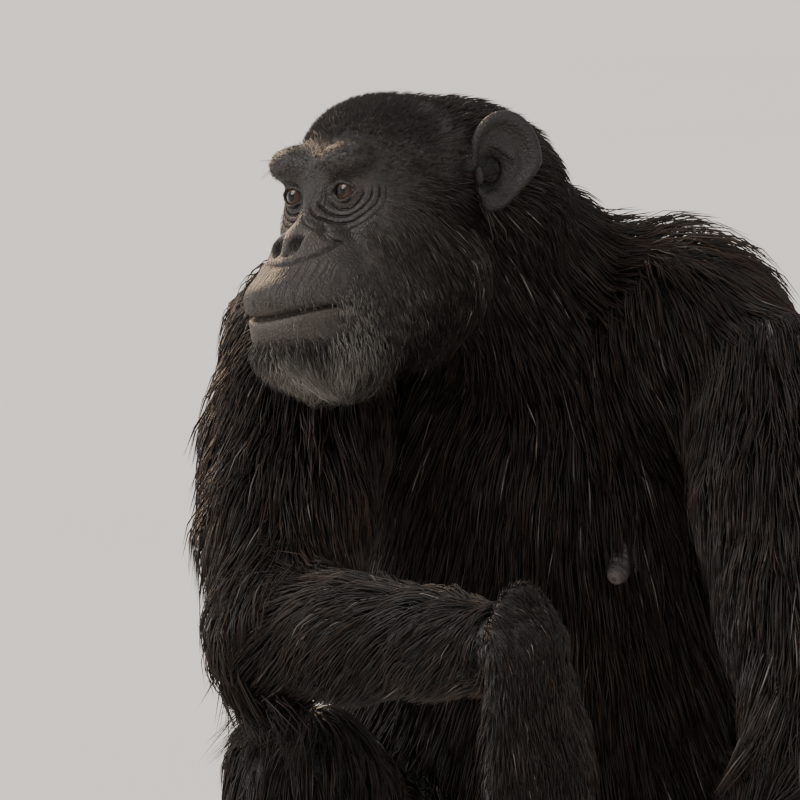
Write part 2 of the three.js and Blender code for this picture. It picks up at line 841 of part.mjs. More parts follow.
function lockSolid(stations, grown) {
  const geometry = new THREE.CylinderGeometry(0, 1, 1, lockSides, lockSteps);
  const tip = stations[lockSteps];
  const tipWay = tip.at.clone().sub(stations[lockSteps - 1].at).normalize();
  return solidOf(moveVertices(geometry, (vertex) => {
    const taper = 0.5 - vertex.y;
    const station = stations[Math.round((1 - taper) * lockSteps)];
    const across = taper > 0 ? vertex.x / taper : 0;
    const over = taper > 0 ? vertex.z / taper : 0;
    const halfWidth = station.halfWidth + (grown ? roomFor.width : 0);
    const halfThick = station.halfThick + (grown ? roomFor.thick : 0);
    const past = grown && station === tip ? roomFor.tip : 0;
    vertex.copy(station.at).addScaledVector(station.side, across * halfWidth);
    vertex.addScaledVector(station.normal, over * halfThick);
    vertex.addScaledVector(tipWay, past);
  }));
}

// Slivers finer than this are left out where locks meet
const finest = 0.04;

const coatedShare = 0.6;
const rootTolerance = 4;

function takesLock(part) {
  return (spot) => {
    const depth = coatDepth[part.kind];
    const onSurface = Math.abs(overCore(spot)) < rootTolerance;
    return onSurface && part.coat(spot) > coatedShare * depth;
  };
}

function locksOf(name, solid) {
  const part = coated[name];
  const roots = spreadOver(solid, lockSizes[part.kind].spacing, takesLock(part));
  return roots.map((root) => lockStations(part, root))
    .filter((stations) => stations.every(({ at }) => at.z > lowestLock));
}

function growLocks() {
  const lockRooms = [];
  for (const node of nodes) {
    if (!(node.name in coated)) {
      continue;
    }
    const locks = locksOf(node.name, node.solid);
    let solid = wasm.Manifold.union(locks.map((stations) => lockSolid(stations, false)));
    for (const other of nodes) {
      if (other !== node) {
        solid = solid.subtract(other.room);
      }
    }
    for (const room of lockRooms) {
      solid = solid.subtract(room);
    }
    lockRooms.push(wasm.Manifold.union(locks.map((stations) => lockSolid(stations, true))));
    node.solid = largest(node.solid.add(solid).simplify(finest));
  }
}

growLocks();

for (const node of nodes) {
  chimpanzee.add(meshOf(node.name, node.solid, node.look));
}
for (const [i, side] of ['left', 'right'].entries()) {
  chimpanzee.add(meshOf(`eye_${side}`, eyeball(eyeAt[i], eyeRadius), looks.eye));
}

export default chimpanzee;
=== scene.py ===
import math

import bpy
import numpy as np
from mathutils import Matrix, Vector, kdtree


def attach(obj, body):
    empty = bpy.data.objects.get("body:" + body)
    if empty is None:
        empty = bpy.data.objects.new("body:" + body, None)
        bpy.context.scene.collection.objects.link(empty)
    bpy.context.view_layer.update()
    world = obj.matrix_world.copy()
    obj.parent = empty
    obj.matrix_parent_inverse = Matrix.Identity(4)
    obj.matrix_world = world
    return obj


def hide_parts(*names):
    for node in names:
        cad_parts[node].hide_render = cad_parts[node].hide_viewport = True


# A seated chimpanzee, life size, in metres: +Z up, it faces -Y and its left is +X.
# Body shapes are written in millimetres and scaled where a mesh is made.
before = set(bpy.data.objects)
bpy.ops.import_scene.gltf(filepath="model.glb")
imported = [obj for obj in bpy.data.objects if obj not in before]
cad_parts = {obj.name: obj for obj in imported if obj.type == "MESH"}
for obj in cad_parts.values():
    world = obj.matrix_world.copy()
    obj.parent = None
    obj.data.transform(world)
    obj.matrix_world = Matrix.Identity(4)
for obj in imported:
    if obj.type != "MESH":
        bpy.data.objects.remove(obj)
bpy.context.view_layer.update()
mm = 0.001
sides = ("right", "left")
rng = np.random.default_rng(417)


def vec(*numbers):
    return np.array(numbers, float)


def unit(a):
    return a / np.maximum(np.linalg.norm(a, axis=-1, keepdims=True), 1e-9)


def smooth(x, low, high):
    t = np.clip((x - low) / (high - low), 0, 1)
    return t * t * (3 - 2 * t)


def fade(x, low, high):
    return 1 - smooth(x, low, high)


def bell(x, width):
    return np.exp(-(x / width) ** 2)


def halved(q):  # both sides of the head counted as its left
    return np.stack([np.abs(q[:, 0]), q[:, 1], q[:, 2]], 1)


def direction(p, x, y, z):  # one direction, or numbers for each point, at every point
    return np.stack([np.broadcast_to(np.asarray(part, float), len(p)) for part in (x, y, z)], 1)


def darker(colour, share=0.5):
    return tuple(c * share for c in colour)


def link(obj):
    bpy.context.scene.collection.objects.link(obj)
    return obj


# camera, as the photograph was taken
camera = {
    "azimuth": 25, "elevation": 5, "distance": 6000, "mmPerPixel": 0.65, "imageSize": 800,
    "anchor": vec(0, -100, 480), "anchorPixel": (535, 477), "sensor": 36, "clipEnd": 60,
}


def makeCamera(c):
    az, el = math.radians(c["azimuth"]), math.radians(c["elevation"])
    right = vec(math.cos(az), math.sin(az), 0)
    back = vec(math.sin(az) * math.cos(el), -math.cos(az) * math.cos(el), math.sin(el))
    up = np.cross(back, right)
    half = c["imageSize"] / 2
    target = c["anchor"] - right * (c["anchorPixel"][0] - half) * c["mmPerPixel"]
    target = target + up * (c["anchorPixel"][1] - half) * c["mmPerPixel"]
    data = bpy.data.cameras.new("camera")
    data.sensor_width = c["sensor"]
    data.lens = c["sensor"] * c["distance"] / (c["imageSize"] * c["mmPerPixel"])
    data.clip_end = c["clipEnd"]
    obj = link(bpy.data.objects.new("camera", data))
    axes = Matrix(np.stack([right, up, back], axis=1).tolist()).to_4x4()
    obj.matrix_world = Matrix.Translation(Vector((target + back * c["distance"]) * mm)) @ axes
    bpy.context.scene.camera = obj


makeCamera(camera)
print("camera ready")


# flesh as distance functions, negative inside
def cone(a, radiusA, b, radiusB):
    axis = b - a
    lengthSq = axis @ axis

    def distance(p):
        t = np.clip((p - a) @ axis / lengthSq, 0, 1)
        return np.linalg.norm(p - a - t[:, None] * axis, axis=1) - (radiusA + (radiusB - radiusA) * t)
    return distance


def blob(centre, radii):
    def distance(p):
        q = (p - centre) / radii
        inner = np.linalg.norm(q, axis=1)
        return inner * (inner - 1) / np.maximum(np.linalg.norm(q / radii, axis=1), 1e-6)
    return distance


def mixed(softness, a, b):
    mix = np.maximum(softness - np.abs(a - b), 0) / softness
    return np.minimum(a, b) - mix * mix * softness / 4


def carved(softness, a, b):  # a with b taken out
    return -mixed(softness, -a, b)


def blend(softness, forms):
    def distance(p):
        nearest = forms[0](p)
        for form in forms[1:]:
            nearest = mixed(softness, nearest, form(p))
        return nearest
    return distance


def chain(points, radii):
    return [cone(points[i], radii[i], points[i + 1], radii[i + 1]) for i in range(len(points) - 1)]


def pair(x, y, z, radii):
    return [blob(vec(x, y, z), radii), blob(vec(-x, y, z), radii)]


def nearby(form, points, margin=60):  # the form is worked out only round its own points
    low, high = np.min(points, axis=0) - margin, np.max(points, axis=0) + margin

    def distance(p):
        beyond = np.maximum(np.maximum(low - p, p - high), 0)
        close = ~beyond.any(axis=1)
        total = np.linalg.norm(beyond, axis=1) + margin / 2
        if close.any():
            total[close] = form(p[close])
        return total
    return distance


# joints and bones; each pair is a swing from straight ahead and a drop below level, in degrees
pose = {
    "upperArmLength": 281, "forearmLength": 247, "thighLength": 288, "shinLength": 242, "ankleHeight": 58,
    "right": {"shoulder": vec(-154, -110, 568), "hip": vec(-75, -30, 95), "upperArm": (19.5, 37),
              "forearm": (63.5, -2.5), "hand": (88, 84), "palm": (-108.5, 4), "curl": 1,
              "thigh": (-8, -44), "shin": (-11, 73.5), "foot": -7, "side": 1},
    "left": {"shoulder": vec(160, -90, 542), "hip": vec(75, -30, 95), "upperArm": (32, 47),
             "forearm": (-7, 50), "hand": (0, 30), "palm": (180, 60), "curl": 0.6,
             "thigh": (52.5, -29), "shin": (-8, 46), "foot": 9, "side": -1},
}
limbs = {  # the joints at its ends, and how thick it is from one to the other
    "upperArm": {"ends": ("shoulder", "elbow"), "radii": [47, 44, 37, 30]},
    "forearm": {"ends": ("elbow", "wrist"), "radii": [30, 31, 26, 20]},
    "thigh": {"ends": ("hip", "knee"), "radii": [72, 65, 52, 43]},
    "shin": {"ends": ("knee", "ankle"), "radii": [41, 39, 31, 26]},
}
limbSoftness = 14


def pointing(swing, drop):
    s, d = math.radians(swing), math.radians(drop)
    return vec(math.sin(s) * math.cos(d), -math.cos(s) * math.cos(d), -math.sin(d))


joint = {}
for sideName in sides:
    s = pose[sideName]
    elbow = s["shoulder"] + pointing(*s["upperArm"]) * pose["upperArmLength"]
    wrist = elbow + pointing(*s["forearm"]) * pose["forearmLength"]
    knee = s["hip"] + pointing(*s["thigh"]) * pose["thighLength"]
    ankle = knee + pointing(*s["shin"]) * pose["shinLength"]
    ankle[2] = pose["ankleHeight"]
    joint[sideName] = {"shoulder": s["shoulder"], "elbow": elbow, "wrist": wrist,
                       "hip": s["hip"], "knee": knee, "ankle": ankle}

torsoFlesh = blend(46, [
    blob(vec(0, 8, 86), vec(116, 98, 98)),
    blob(vec(-4, -20, 205), vec(126, 108, 112)),
    blob(vec(-6, -4, 330), vec(131, 104, 112)),
    blob(vec(-44, -40, 296), vec(106, 92, 108)),
    blob(vec(-4, -34, 462), vec(132, 94, 112)),
    blob(vec(88, -64, 558), vec(78, 64, 58)),
    blob(vec(-92, -72, 558), vec(78, 66, 60)),
    blob(vec(40, -18, 571), vec(86, 66, 60)),
])
neckFlesh = blend(20, [
    cone(vec(6, -56, 576), 62, vec(-24, -128, 640), 50),
    cone(vec(-6, -92, 566), 50, vec(-28, -150, 615), 44),
])


def boneOf(kind, sideName):
    start, end = limbs[kind]["ends"]
    return joint[sideName][start], joint[sideName][end]


def limbFlesh(kind, sideName):
    start, end = boneOf(kind, sideName)
    radii = limbs[kind]["radii"]
    points = [start + (end - start) * i / (len(radii) - 1) for i in range(len(radii))]
    return nearby(blend(limbSoftness, chain(points, radii)), points, radii[0] + 40)


# the head in its own frame: origin between the ears, face along -y
head = {
    "at": vec(-32, -170, 680), "yaw": -25, "roll": -7,
    "eye": vec(25.5, -97, -8), "eyeRadius": 11.5, "ear": vec(70, -8, 4),
}
headTurn = np.array(Matrix.Rotation(math.radians(head["yaw"]), 3, "Z")
                    @ Matrix.Rotation(math.radians(head["roll"]), 3, "Y"))


def toHead(p):
    return (p - head["at"]) @ headTurn


def fromHead(p):
    return p @ headTurn.T + head["at"]


skullForm = blend(26, [
    blob(vec(0, -20, 0), vec(56, 76, 46)),
    blob(vec(0, -58, 5), vec(52, 42, 43)),
    blob(vec(0, 32, -22), vec(52, 42, 44)),
    blob(vec(0, -72, -40), vec(44, 32, 44)),
    cone(vec(30, -36, -62), 24, vec(15, -86, -96), 24),
    cone(vec(-30, -36, -62), 24, vec(-15, -86, -96), 24),
    *pair(26, -76, -62, vec(22, 28, 26)),
    blob(vec(0, -50, -76), vec(44, 50, 40)),
])
browForm = blend(6, [*pair(26, -102, 12, vec(20, 14.5, 11.5)), blob(vec(0, -97, 10), vec(14, 11, 9))])
faceForm = blend(15, [
    *pair(27, -87, -13, vec(20, 15, 18)),
    *pair(35, -83, -31, vec(19, 20, 15)),
    cone(vec(0, -98, -2), 8, vec(0, -112, -28), 10),
    blob(vec(0, -116, -42), vec(21, 15, 11)),
    blob(vec(0, -114, -57), vec(36, 25, 17)),
    blob(vec(0, -114, -70), vec(39, 41, 28)),
    blob(vec(0, -132, -82), vec(33, 30, 15)),
    blob(vec(0, -127, -103), vec(32, 29, 14)),
    blob(vec(0, -104, -110), vec(28, 30, 23)),
])


def headForm(p):
    return mixed(11, mixed(18, skullForm(p), faceForm(p)), browForm(p))


# a mesh from a field: values on a grid, worked out finely only near the surface
gridding = {"block": 8, "halfDiagonal": 0.87, "reach": 1.35, "batch": 600}


def everyPlace(counts):
    return np.stack(np.meshgrid(*[np.arange(n) for n in counts], indexing="ij"), -1).reshape(-1, 3)


def fieldGrid(field, low, high, step):
    block, batch = gridding["block"], gridding["batch"]
    counts = np.ceil((high - low) / step / block).astype(int) + 1
    index = everyPlace(counts)
    rough = field(low + (index * block + (block - 1) / 2) * step)
    values = rough.reshape(counts)
    for axis in range(3):
        values = np.repeat(values, block, axis)
    values = values.astype(np.float32)
    near = index[np.abs(rough) < block * step * gridding["halfDiagonal"] * gridding["reach"]]
    cell = everyPlace([block] * 3)
    for start in range(0, len(near), batch):
        at = (near[start:start + batch, None, :] * block + cell).reshape(-1, 3)
        values[at[:, 0], at[:, 1], at[:, 2]] = field(low + at * step)
    return {"values": values, "low": low, "step": step}


def sample(grid, p):
    q = np.clip((p - grid["low"]) / grid["step"], 0, np.array(grid["values"].shape) - 1.001)
    i = q.astype(int)
    f = q - i
    total = 0
    for dx in (0, 1):
        for dy in (0, 1):
            for dz in (0, 1):
                w = np.abs(1 - dx - f[:, 0]) * np.abs(1 - dy - f[:, 1]) * np.abs(1 - dz - f[:, 2])
                total = total + w * grid["values"][i[:, 0] + dx, i[:, 1] + dy, i[:, 2] + dz]
    return total


def slope(field, p, e):
    return unit(np.stack([field(p + d) - field(p - d) for d in np.eye(3) * e], -1))


def surfaceNet(grid):
    values, low, step = grid["values"], grid["low"], grid["step"]
    inside = values < 0
    shape = values.shape
    strides = np.array([shape[1] * shape[2], shape[2], 1])
    steps = np.eye(3, dtype=int)
    cells, points, flips = [], [], []
    for axis in range(3):
        a = inside.take(range(shape[axis] - 1), axis)
        b = inside.take(range(1, shape[axis]), axis)
        i = np.argwhere(a != b)
        v0 = values[i[:, 0], i[:, 1], i[:, 2]]
        j = i + steps[axis]
        v1 = values[j[:, 0], j[:, 1], j[:, 2]]
        points.append(low + (i + (v0 / (v0 - v1))[:, None] * steps[axis]) * step)
        u, w = steps[(axis + 1) % 3], steps[(axis + 2) % 3]
        cells.append(np.stack([(i - c) @ strides for c in (0 * u, u, u + w, w)], 1))
        flips.append(v0 > 0)
    cells, points, flips = np.concatenate(cells), np.concatenate(points), np.concatenate(flips)
    back = np.unique(cells, return_inverse=True)[1].reshape(cells.shape)
    count = np.bincount(back.ravel())
    sums = [np.bincount(back.ravel(), np.repeat(points[:, k], 4)) for k in range(3)]
    verts = np.stack(sums, 1) / count[:, None]
    quads = np.where(flips[:, None], back[:, ::-1], back)
    return verts, quads


def settle(field, p, step, rounds=2):
    for _ in range(rounds):
        p = p - slope(field, p, step * 0.4) * np.clip(field(p), -step * 0.5, step * 0.5)[:, None]
    return p


def meshPiece(name, points, faces, material, smoothShade=True):
    mesh = bpy.data.meshes.new(name)
    mesh.vertices.add(len(points))
    mesh.vertices.foreach_set("co", (points * mm).astype(np.float32).ravel())
    mesh.loops.add(faces.size)
    mesh.loops.foreach_set("vertex_index", faces.astype(np.int32).ravel())
    mesh.polygons.add(len(faces))
    mesh.polygons.foreach_set("loop_start", np.arange(0, faces.size, faces.shape[1], dtype=np.int32))
    mesh.polygons.foreach_set("use_smooth", np.full(len(faces), smoothShade))
    mesh.update(calc_edges=True)
    mesh.materials.append(material)
    return link(bpy.data.objects.new(name, mesh))


def keepNumbers(obj, name, values):  # a number at each point, which a material reads
    layer = obj.data.attributes.new(name, "FLOAT", "POINT")
    layer.data.foreach_set("value", values.astype(np.float32))


# fine forms of the face and ears, in the head's frame
face = {
    "opening": (10.2, 4.9), "lidRadius": 13.2, "lidBlend": 2.5, "lidRim": 0.9, "lidFold": 1.2,
    "socket": (vec(27, -122, -10), vec(19, 20, 12)),
    "nostril": (vec(8.6, -136.5, -39), vec(4.6, 8.5, 5.2)),
    "nostrilTop": (vec(10.8, -132, -32.5), 3.7), "nostrilFoot": (vec(5.2, -139, -45), 2.5),
    "noseCrease": [(5, -23), (18, -31.5), (30, -41), (25, -47.5), (12, -51.5), (0, -53)],
    "noseCreaseWidth": 1.6, "noseCreaseDepth": 1.9, "bagStart": 7.6, "bagPeriod": 4.3, "bagDepth": 1.2,
    "mouthFront": -85, "mouthRise": 5, "mouthHalf": 36, "mouthGap": 1.3, "mouthDepth": 5,
    "eyesBehind": -60,  # marks round the eyes stay in front of this
}
ear = {
    "size": vec(23, 7.5, 31), "flare": 40, "lean": 0.26, "taper": 0.3, "height": 32,
    "dish": vec(-2, -6.5, -1), "wall": vec(3.2, -0.6, 3.8), "rim": 2.7, "rimInset": 2.6,
    "fold": 2.1, "foldSize": (11.0, 16.5), "fork": [(-12, 13), (-2, 9), (4, 2)], "forkRadius": 1.7,
    "tragus": (vec(-16, -5, -8), vec(4.5, 4.5, 7)), "lobe": (vec(-6, -1, -25), vec(8, 4, 7)),
    "concha": (vec(-9, -1, -5), vec(7, 7.5, 10)),
}


def almond(x, z):
    a, h = face["opening"]
    radius = (a * a + h * h) / (2 * h)
    return np.maximum(np.hypot(x, z + radius - h), np.hypot(x, z - radius + h)) - radius


def eyeRing(mirrored):  # how far from the eye, in rings that are a little wider than high
    away = mirrored - head["eye"]
    behind = 1.4 * np.maximum(away[:, 1] + 4, 0)
    return np.sqrt((away[:, 0] * 0.85) ** 2 + away[:, 2] ** 2 + behind ** 2)


def underEye(mirrored):  # where the bags under the eye lie
    away, ring = mirrored - head["eye"], eyeRing(mirrored)
    share = smooth(-away[:, 2] + 0.2 * away[:, 0], 0, 7) * smooth(ring, 6.5, 9) * fade(ring, 20, 29)
    return share * (mirrored[:, 1] < face["eyesBehind"])


def fromRoute(x, z, route):  # how far a place is from a line through the route's points
    best = 1e3
    for (x0, z0), (x1, z1) in zip(route, route[1:]):
        dx, dz = x1 - x0, z1 - z0
        t = np.clip(((x - x0) * dx + (z - z0) * dz) / (dx * dx + dz * dz), 0, 1)
        best = np.minimum(best, np.hypot(x - x0 - t * dx, z - z0 - t * dz))
    return best


def earPlace(q):  # x towards the back of the ear, y out of its dish, z up
    turn = math.radians(90 - ear["flare"])
    ex, ey, ez = np.abs(q[:, 0]) - head["ear"][0], q[:, 1] - head["ear"][1], q[:, 2] - head["ear"][2]
    x, y = ex * math.cos(turn) + ey * math.sin(turn), -ex * math.sin(turn) + ey * math.cos(turn)
    low = smooth(-ez, 0, ear["height"])
    return (x + ear["lean"] * ear["height"] * low) / (1 - ear["taper"] * low), y, ez


def earForm(q):
    x, y, z = earPlace(q)
    p = np.stack([x, y, z], 1)
    dish = carved(3, blob(vec(0, 0, 0), ear["size"])(p), blob(ear["dish"], ear["size"] - ear["wall"])(p))
    wide, _, tall = ear["size"] - ear["rimInset"]
    outer = (np.hypot(x / wide, z / tall) - 1) * 24
    helix = np.hypot(outer, y + 1.5) - ear["rim"] * (0.7 + 0.45 * smooth(z, -20, 20))
    inner = (np.hypot((x + 4) / ear["foldSize"][0], (z + 2) / ear["foldSize"][1]) - 1) * 13
    antihelix = np.hypot(inner, y - 1.2) - ear["fold"] * smooth(x + 0.25 * z, -12, -1)
    fork = np.hypot(fromRoute(x, z, ear["fork"]), y - 0.8) - ear["forkRadius"]
    below = mixed(3, blob(*ear["tragus"])(p), blob(*ear["lobe"])(p))
    form = mixed(3, mixed(2.5, mixed(2, dish, helix), antihelix), mixed(2, fork, below))
    return carved(5, form, blob(*ear["concha"])(p))


noseForm = blend(5, [
    blob(vec(0, -122, -39), vec(9, 15, 9)),
    cone(vec(0, -108, -19), 6, vec(0, -122, -34), 8),
    *pair(10.5, -123, -41, vec(9, 13.5, 9.5)),
    *pair(19, -114.5, -39.5, vec(12, 11.5, 9)),
])
lipForm = blend(7, [
    blob(vec(0, -131, -71), vec(34, 31, 14)),
    blob(vec(0, -128, -95), vec(31, 31, 11)),
])


def mouthLine(mirrored):
    return face["mouthFront"] + face["mouthRise"] * (mirrored[:, 0] / face["mouthHalf"]) ** 2


def onFront(q):
    return smooth(-q[:, 1], 96, 102)


def faceField(q):
    mirrored = halved(q)
    form = mixed(8, headForm(q), lipForm(q))
    form = mixed(6, form, noseForm(q))
    form = carved(4, form, blob(*face["socket"])(mirrored))
    fromEye = mirrored - head["eye"]
    reach = np.linalg.norm(fromEye, axis=1)
    form = mixed(face["lidBlend"], form, reach - face["lidRadius"])
    edge = almond(fromEye[:, 0], fromEye[:, 2])
    form = form - face["lidRim"] * bell(edge - 1.3, 0.9) * (reach < 18) * onFront(q)
    # bags under the eye, a fold over the upper lid and the crease that bounds the nose and its wings
    ring = eyeRing(mirrored)
    bags = 1 - np.abs(np.sin(math.pi * (ring - face["bagStart"]) / face["bagPeriod"]))
    form = form + face["bagDepth"] * bags * underEye(mirrored)
    above = smooth(fromEye[:, 2], 2, 6) * (q[:, 1] < face["eyesBehind"])
    form = form + face["lidFold"] * bell(ring - 8.6, 0.9) * above
    toCrease = fromRoute(mirrored[:, 0], q[:, 2], face["noseCrease"])
    cut = face["noseCreaseDepth"] * (0.4 + 0.6 * smooth(mirrored[:, 0], 8, 22)) * onFront(q)
    form = form + cut * bell(toCrease, face["noseCreaseWidth"])
    opening = np.maximum(edge, reach - face["lidRadius"] - 3.5)
    opening = np.maximum(opening, fromEye[:, 1] + 2)
    form = carved(1.0, form, opening)
    slot = cone(*face["nostrilTop"], *face["nostrilFoot"])(mirrored)
    form = carved(2.8, form, mixed(3, blob(*face["nostril"])(mirrored), slot))
    gap = face["mouthGap"] * np.sqrt(np.maximum(1 - (mirrored[:, 0] / face["mouthHalf"]) ** 2, 0))
    slit = np.maximum(np.abs(q[:, 2] - mouthLine(mirrored)) - gap, -form - face["mouthDepth"])
    slit = np.maximum(slit, np.maximum(mirrored[:, 0] - face["mouthHalf"], q[:, 1] + 112))
    form = carved(4.5, form, slit)
    return mixed(5, form, earForm(q))


# hands and feet; each has its own frame: x to the thumb or big toe, y to the tips
palm = {"length": 108, "width": 82, "flatness": 0.44, "wrist": 26, "wristReach": 44}
digits = {  # place across, share of the length, and the bend at each joint
    "fingers": [(0.36, 0.9, (10, 26, 18)), (0.12, 1, (14, 28, 18)),
                (-0.12, 0.95, (18, 30, 20)), (-0.36, 0.78, (22, 32, 22))],
    "toes": [(0.2, 1, (0, 8, 4)), (0.02, 1.02, (0, 8, 4)),
             (-0.16, 0.95, (0, 8, 4)), (-0.33, 0.84, (0, 8, 4))],
    "thumb": (vec(20, 22, 0), vec(0.55, 1, 0), 84, (16, 10, 10)),
    "bigToe": (vec(22, 34, 19), vec(0.75, 1, 0), 88, (0, 6, 3)),
    "fingerLength": 104, "toeLength": 58, "boneShares": (0.45, 0.32, 0.23), "knuckle": 0.9,
    "radii": {"hand": [10, 9.5, 8.5, 6.5], "foot": [10, 9.5, 8, 6.5]},
    "thumbRadii": {"hand": [13, 10.5, 8, 6], "foot": [17, 14, 12, 9]},
}
sole = {"length": 226, "width": 78, "heelBack": 46}
ball = sole["length"] - sole["heelBack"] - digits["toeLength"]


def digitPoints(base, forward, curlTo, length, bends):
    points, angle = [base], 0
    for share, bend in zip(digits["boneShares"], bends):
        angle += math.radians(bend)
        way = unit(forward * math.cos(angle) + curlTo * math.sin(angle))
        points.append(points[-1] + way * length * share)
    return points


def digitForm(points, radii):  # a digit with a slight swelling at each joint
    knuckles = [blob(points[i], vec(1, 1, 1) * (radii[i] + digits["knuckle"])) for i in (1, 2)]
    return blend(4, chain(points, radii) + knuckles)


x, y, z = np.eye(3)
hands, feet = {}, {}
for sideName in sides:
    s = pose[sideName]
    forward = pointing(*s["hand"])
    palmar = unit(pointing(*s["palm"]) - forward * (pointing(*s["palm"]) @ forward))
    thumbward = np.cross(forward, palmar) * s["side"]
    fingers = [digitPoints(x * across * palm["width"] + y * (palm["length"] - 10), y, z,
                           size * digits["fingerLength"], [b * s["curl"] for b in bends])
               for across, size, bends in digits["fingers"]]
    base, way, length, bends = digits["thumb"]
    hands[sideName] = {
        "at": joint[sideName]["wrist"], "axes": np.stack([thumbward, forward, palmar], 1),
        "digits": fingers, "thumb": digitPoints(base, unit(way), z, length, bends)}
    forward = pointing(s["foot"], 0)
    inward = np.cross(z, forward) * s["side"]
    toes = [digitPoints(x * across * sole["width"] + y * (ball - 6) + z * 15, y, -z,
                        size * digits["toeLength"] + 8, bends)
            for across, size, bends in digits["toes"]]
    base, way, length, bends = digits["bigToe"]
    feet[sideName] = {
        "at": joint[sideName]["ankle"] * vec(1, 1, 0), "axes": np.stack([inward, forward, z], 1),
        "digits": toes, "thumb": digitPoints(base, unit(way), -z, length, bends)}


def intoPart(part, p):
    return (p - part["at"]) @ part["axes"]


def placesOf(part, height):  # ends of its bones, the heel and the wrist or ankle, in the model's frame
    local = np.concatenate([*part["digits"], part["thumb"], [vec(0, -46, height), vec(0, 0, 60)]])
    return part["at"] + local @ part["axes"].T


def flatForm(flatness, points, radii):
    squeeze = vec(1, 1, 1 / flatness)
    form = blend(8, chain([p * squeeze for p in points], radii))
    return lambda p: form(p * squeeze) * (flatness + 1) / 2


def handForm(part):
    length, width = palm["length"], palm["width"]
    slab = flatForm(palm["flatness"], [y * -14, y * 0.4 * length, y * 0.75 * length, y * (length - 4)],
                    [24, 0.42 * width, 0.5 * width, 0.46 * width])
    wrist = cone(0 * y, palm["wrist"], y * palm["wristReach"], 0.7 * palm["wrist"])
    form = blend(7, [slab, wrist, blend(9, chain(part["thumb"], digits["thumbRadii"]["hand"]))])
    fingers = [digitForm(points, digits["radii"]["hand"]) for points in part["digits"]]

    def distance(p):
        q = intoPart(part, p)
        return mixed(6, form(q), np.min([finger(q) for finger in fingers], axis=0))
    return distance


def footForm(part):
    base = flatForm(0.72, [y * -22 + z * 25, y * 16 + z * 27, y * 70 + z * 24, y * ball + z * 17],
                    [27, 30, 0.46 * sole["width"], 0.5 * sole["width"]])
    instep = cone(z * pose["ankleHeight"], 27, x * 4 + y * 58 + z * 28, 22)
    form = blend(9, [base, instep, blend(9, chain(part["thumb"], digits["thumbRadii"]["foot"]))])
    toes = [digitForm(points, digits["radii"]["foot"]) for points in part["digits"]]

    def distance(p):
        q = intoPart(part, p)
        total = mixed(6, form(q), np.min([toe(q) for toe in toes], axis=0))
        return np.maximum(total, -p[:, 2])
    return distance


# the body as a whole
headBox = [head["at"] + vec(-1, -1, -1) * 120 + vec(-30, -60, -20), head["at"] + vec(1, 1, 1) * 90]
torsoBox = [vec(-170, -130, 0), vec(170, 110, 636)]
neckBox = [vec(-70, -210, 500), vec(70, 10, 700)]
bodyLow, bodyHigh = vec(-270, -600, -25), vec(400, 170, 800)
parts = {"torso": nearby(torsoFlesh, torsoBox), "neck": nearby(neckFlesh, neckBox)}
limbEnds = {}  # hands and feet with their form, by the names of their nodes
for sideName in sides:
    for kind in limbs:
        parts[kind + "_" + sideName] = limbFlesh(kind, sideName)
    for kind, part, makeForm in (("hand", hands[sideName], handForm), ("foot", feet[sideName], footForm)):
        form = nearby(makeForm(part), placesOf(part, 0), 45)
        limbEnds[kind + "_" + sideName] = {"kind": kind, "side": sideName, "part": part, "form": form}
skullNear = nearby(lambda p: skullForm(toHead(p)), headBox, 40)
headNear = nearby(lambda p: headForm(toHead(p)), headBox, 40)


def bodyField(p):
    total = blend(limbSoftness, list(parts.values()))(p)
    return np.maximum(mixed(limbSoftness, total, skullNear(p) + 2), -p[:, 2])


def limbEndField(p):
    return np.min([end["form"](p) for end in limbEnds.values()], axis=0)


def wholeField(p):
    return np.minimum(np.minimum(bodyField(p), headNear(p)), limbEndField(p))


def boxOf(points, margin):
    points = np.array(points)
    return points.min(0) - margin, points.max(0) + margin


wholeGrid = fieldGrid(wholeField, bodyLow - vec(0, 0, 15), bodyHigh, 5)
print("body field ready", wholeGrid["values"].shape)


# shading: a socket that takes part in Python expressions
class Shade:
    def __init__(self, look, socket):
        self.look, self.socket = look, socket

    def join(self, operation, *values):
        return self.look.node("ShaderNodeMath", {"operation": operation}, dict(enumerate(values)))

    def __add__(self, other): return self.join("ADD", self, other)
    def __radd__(self, other): return self.join("ADD", other, self)
    def __sub__(self, other): return self.join("SUBTRACT", self, other)
    def __rsub__(self, other): return self.join("SUBTRACT", other, self)
    def __mul__(self, other): return self.join("MULTIPLY", self, other)
    def __rmul__(self, other): return self.join("MULTIPLY", other, self)
    def __pow__(self, other): return self.join("POWER", self, other)

    def between(self, low, high):  # 0 below low, 1 above high, smooth between
        return self.look.node("ShaderNodeMapRange", {"interpolation_type": "SMOOTHSTEP"},
                              {"Value": self, "From Min": low, "From Max": high})

    def sine(self): return self.join("SINE", self)
    def clamp(self): return self.join("MINIMUM", self.join("MAXIMUM", self, 0.0), 1.0)


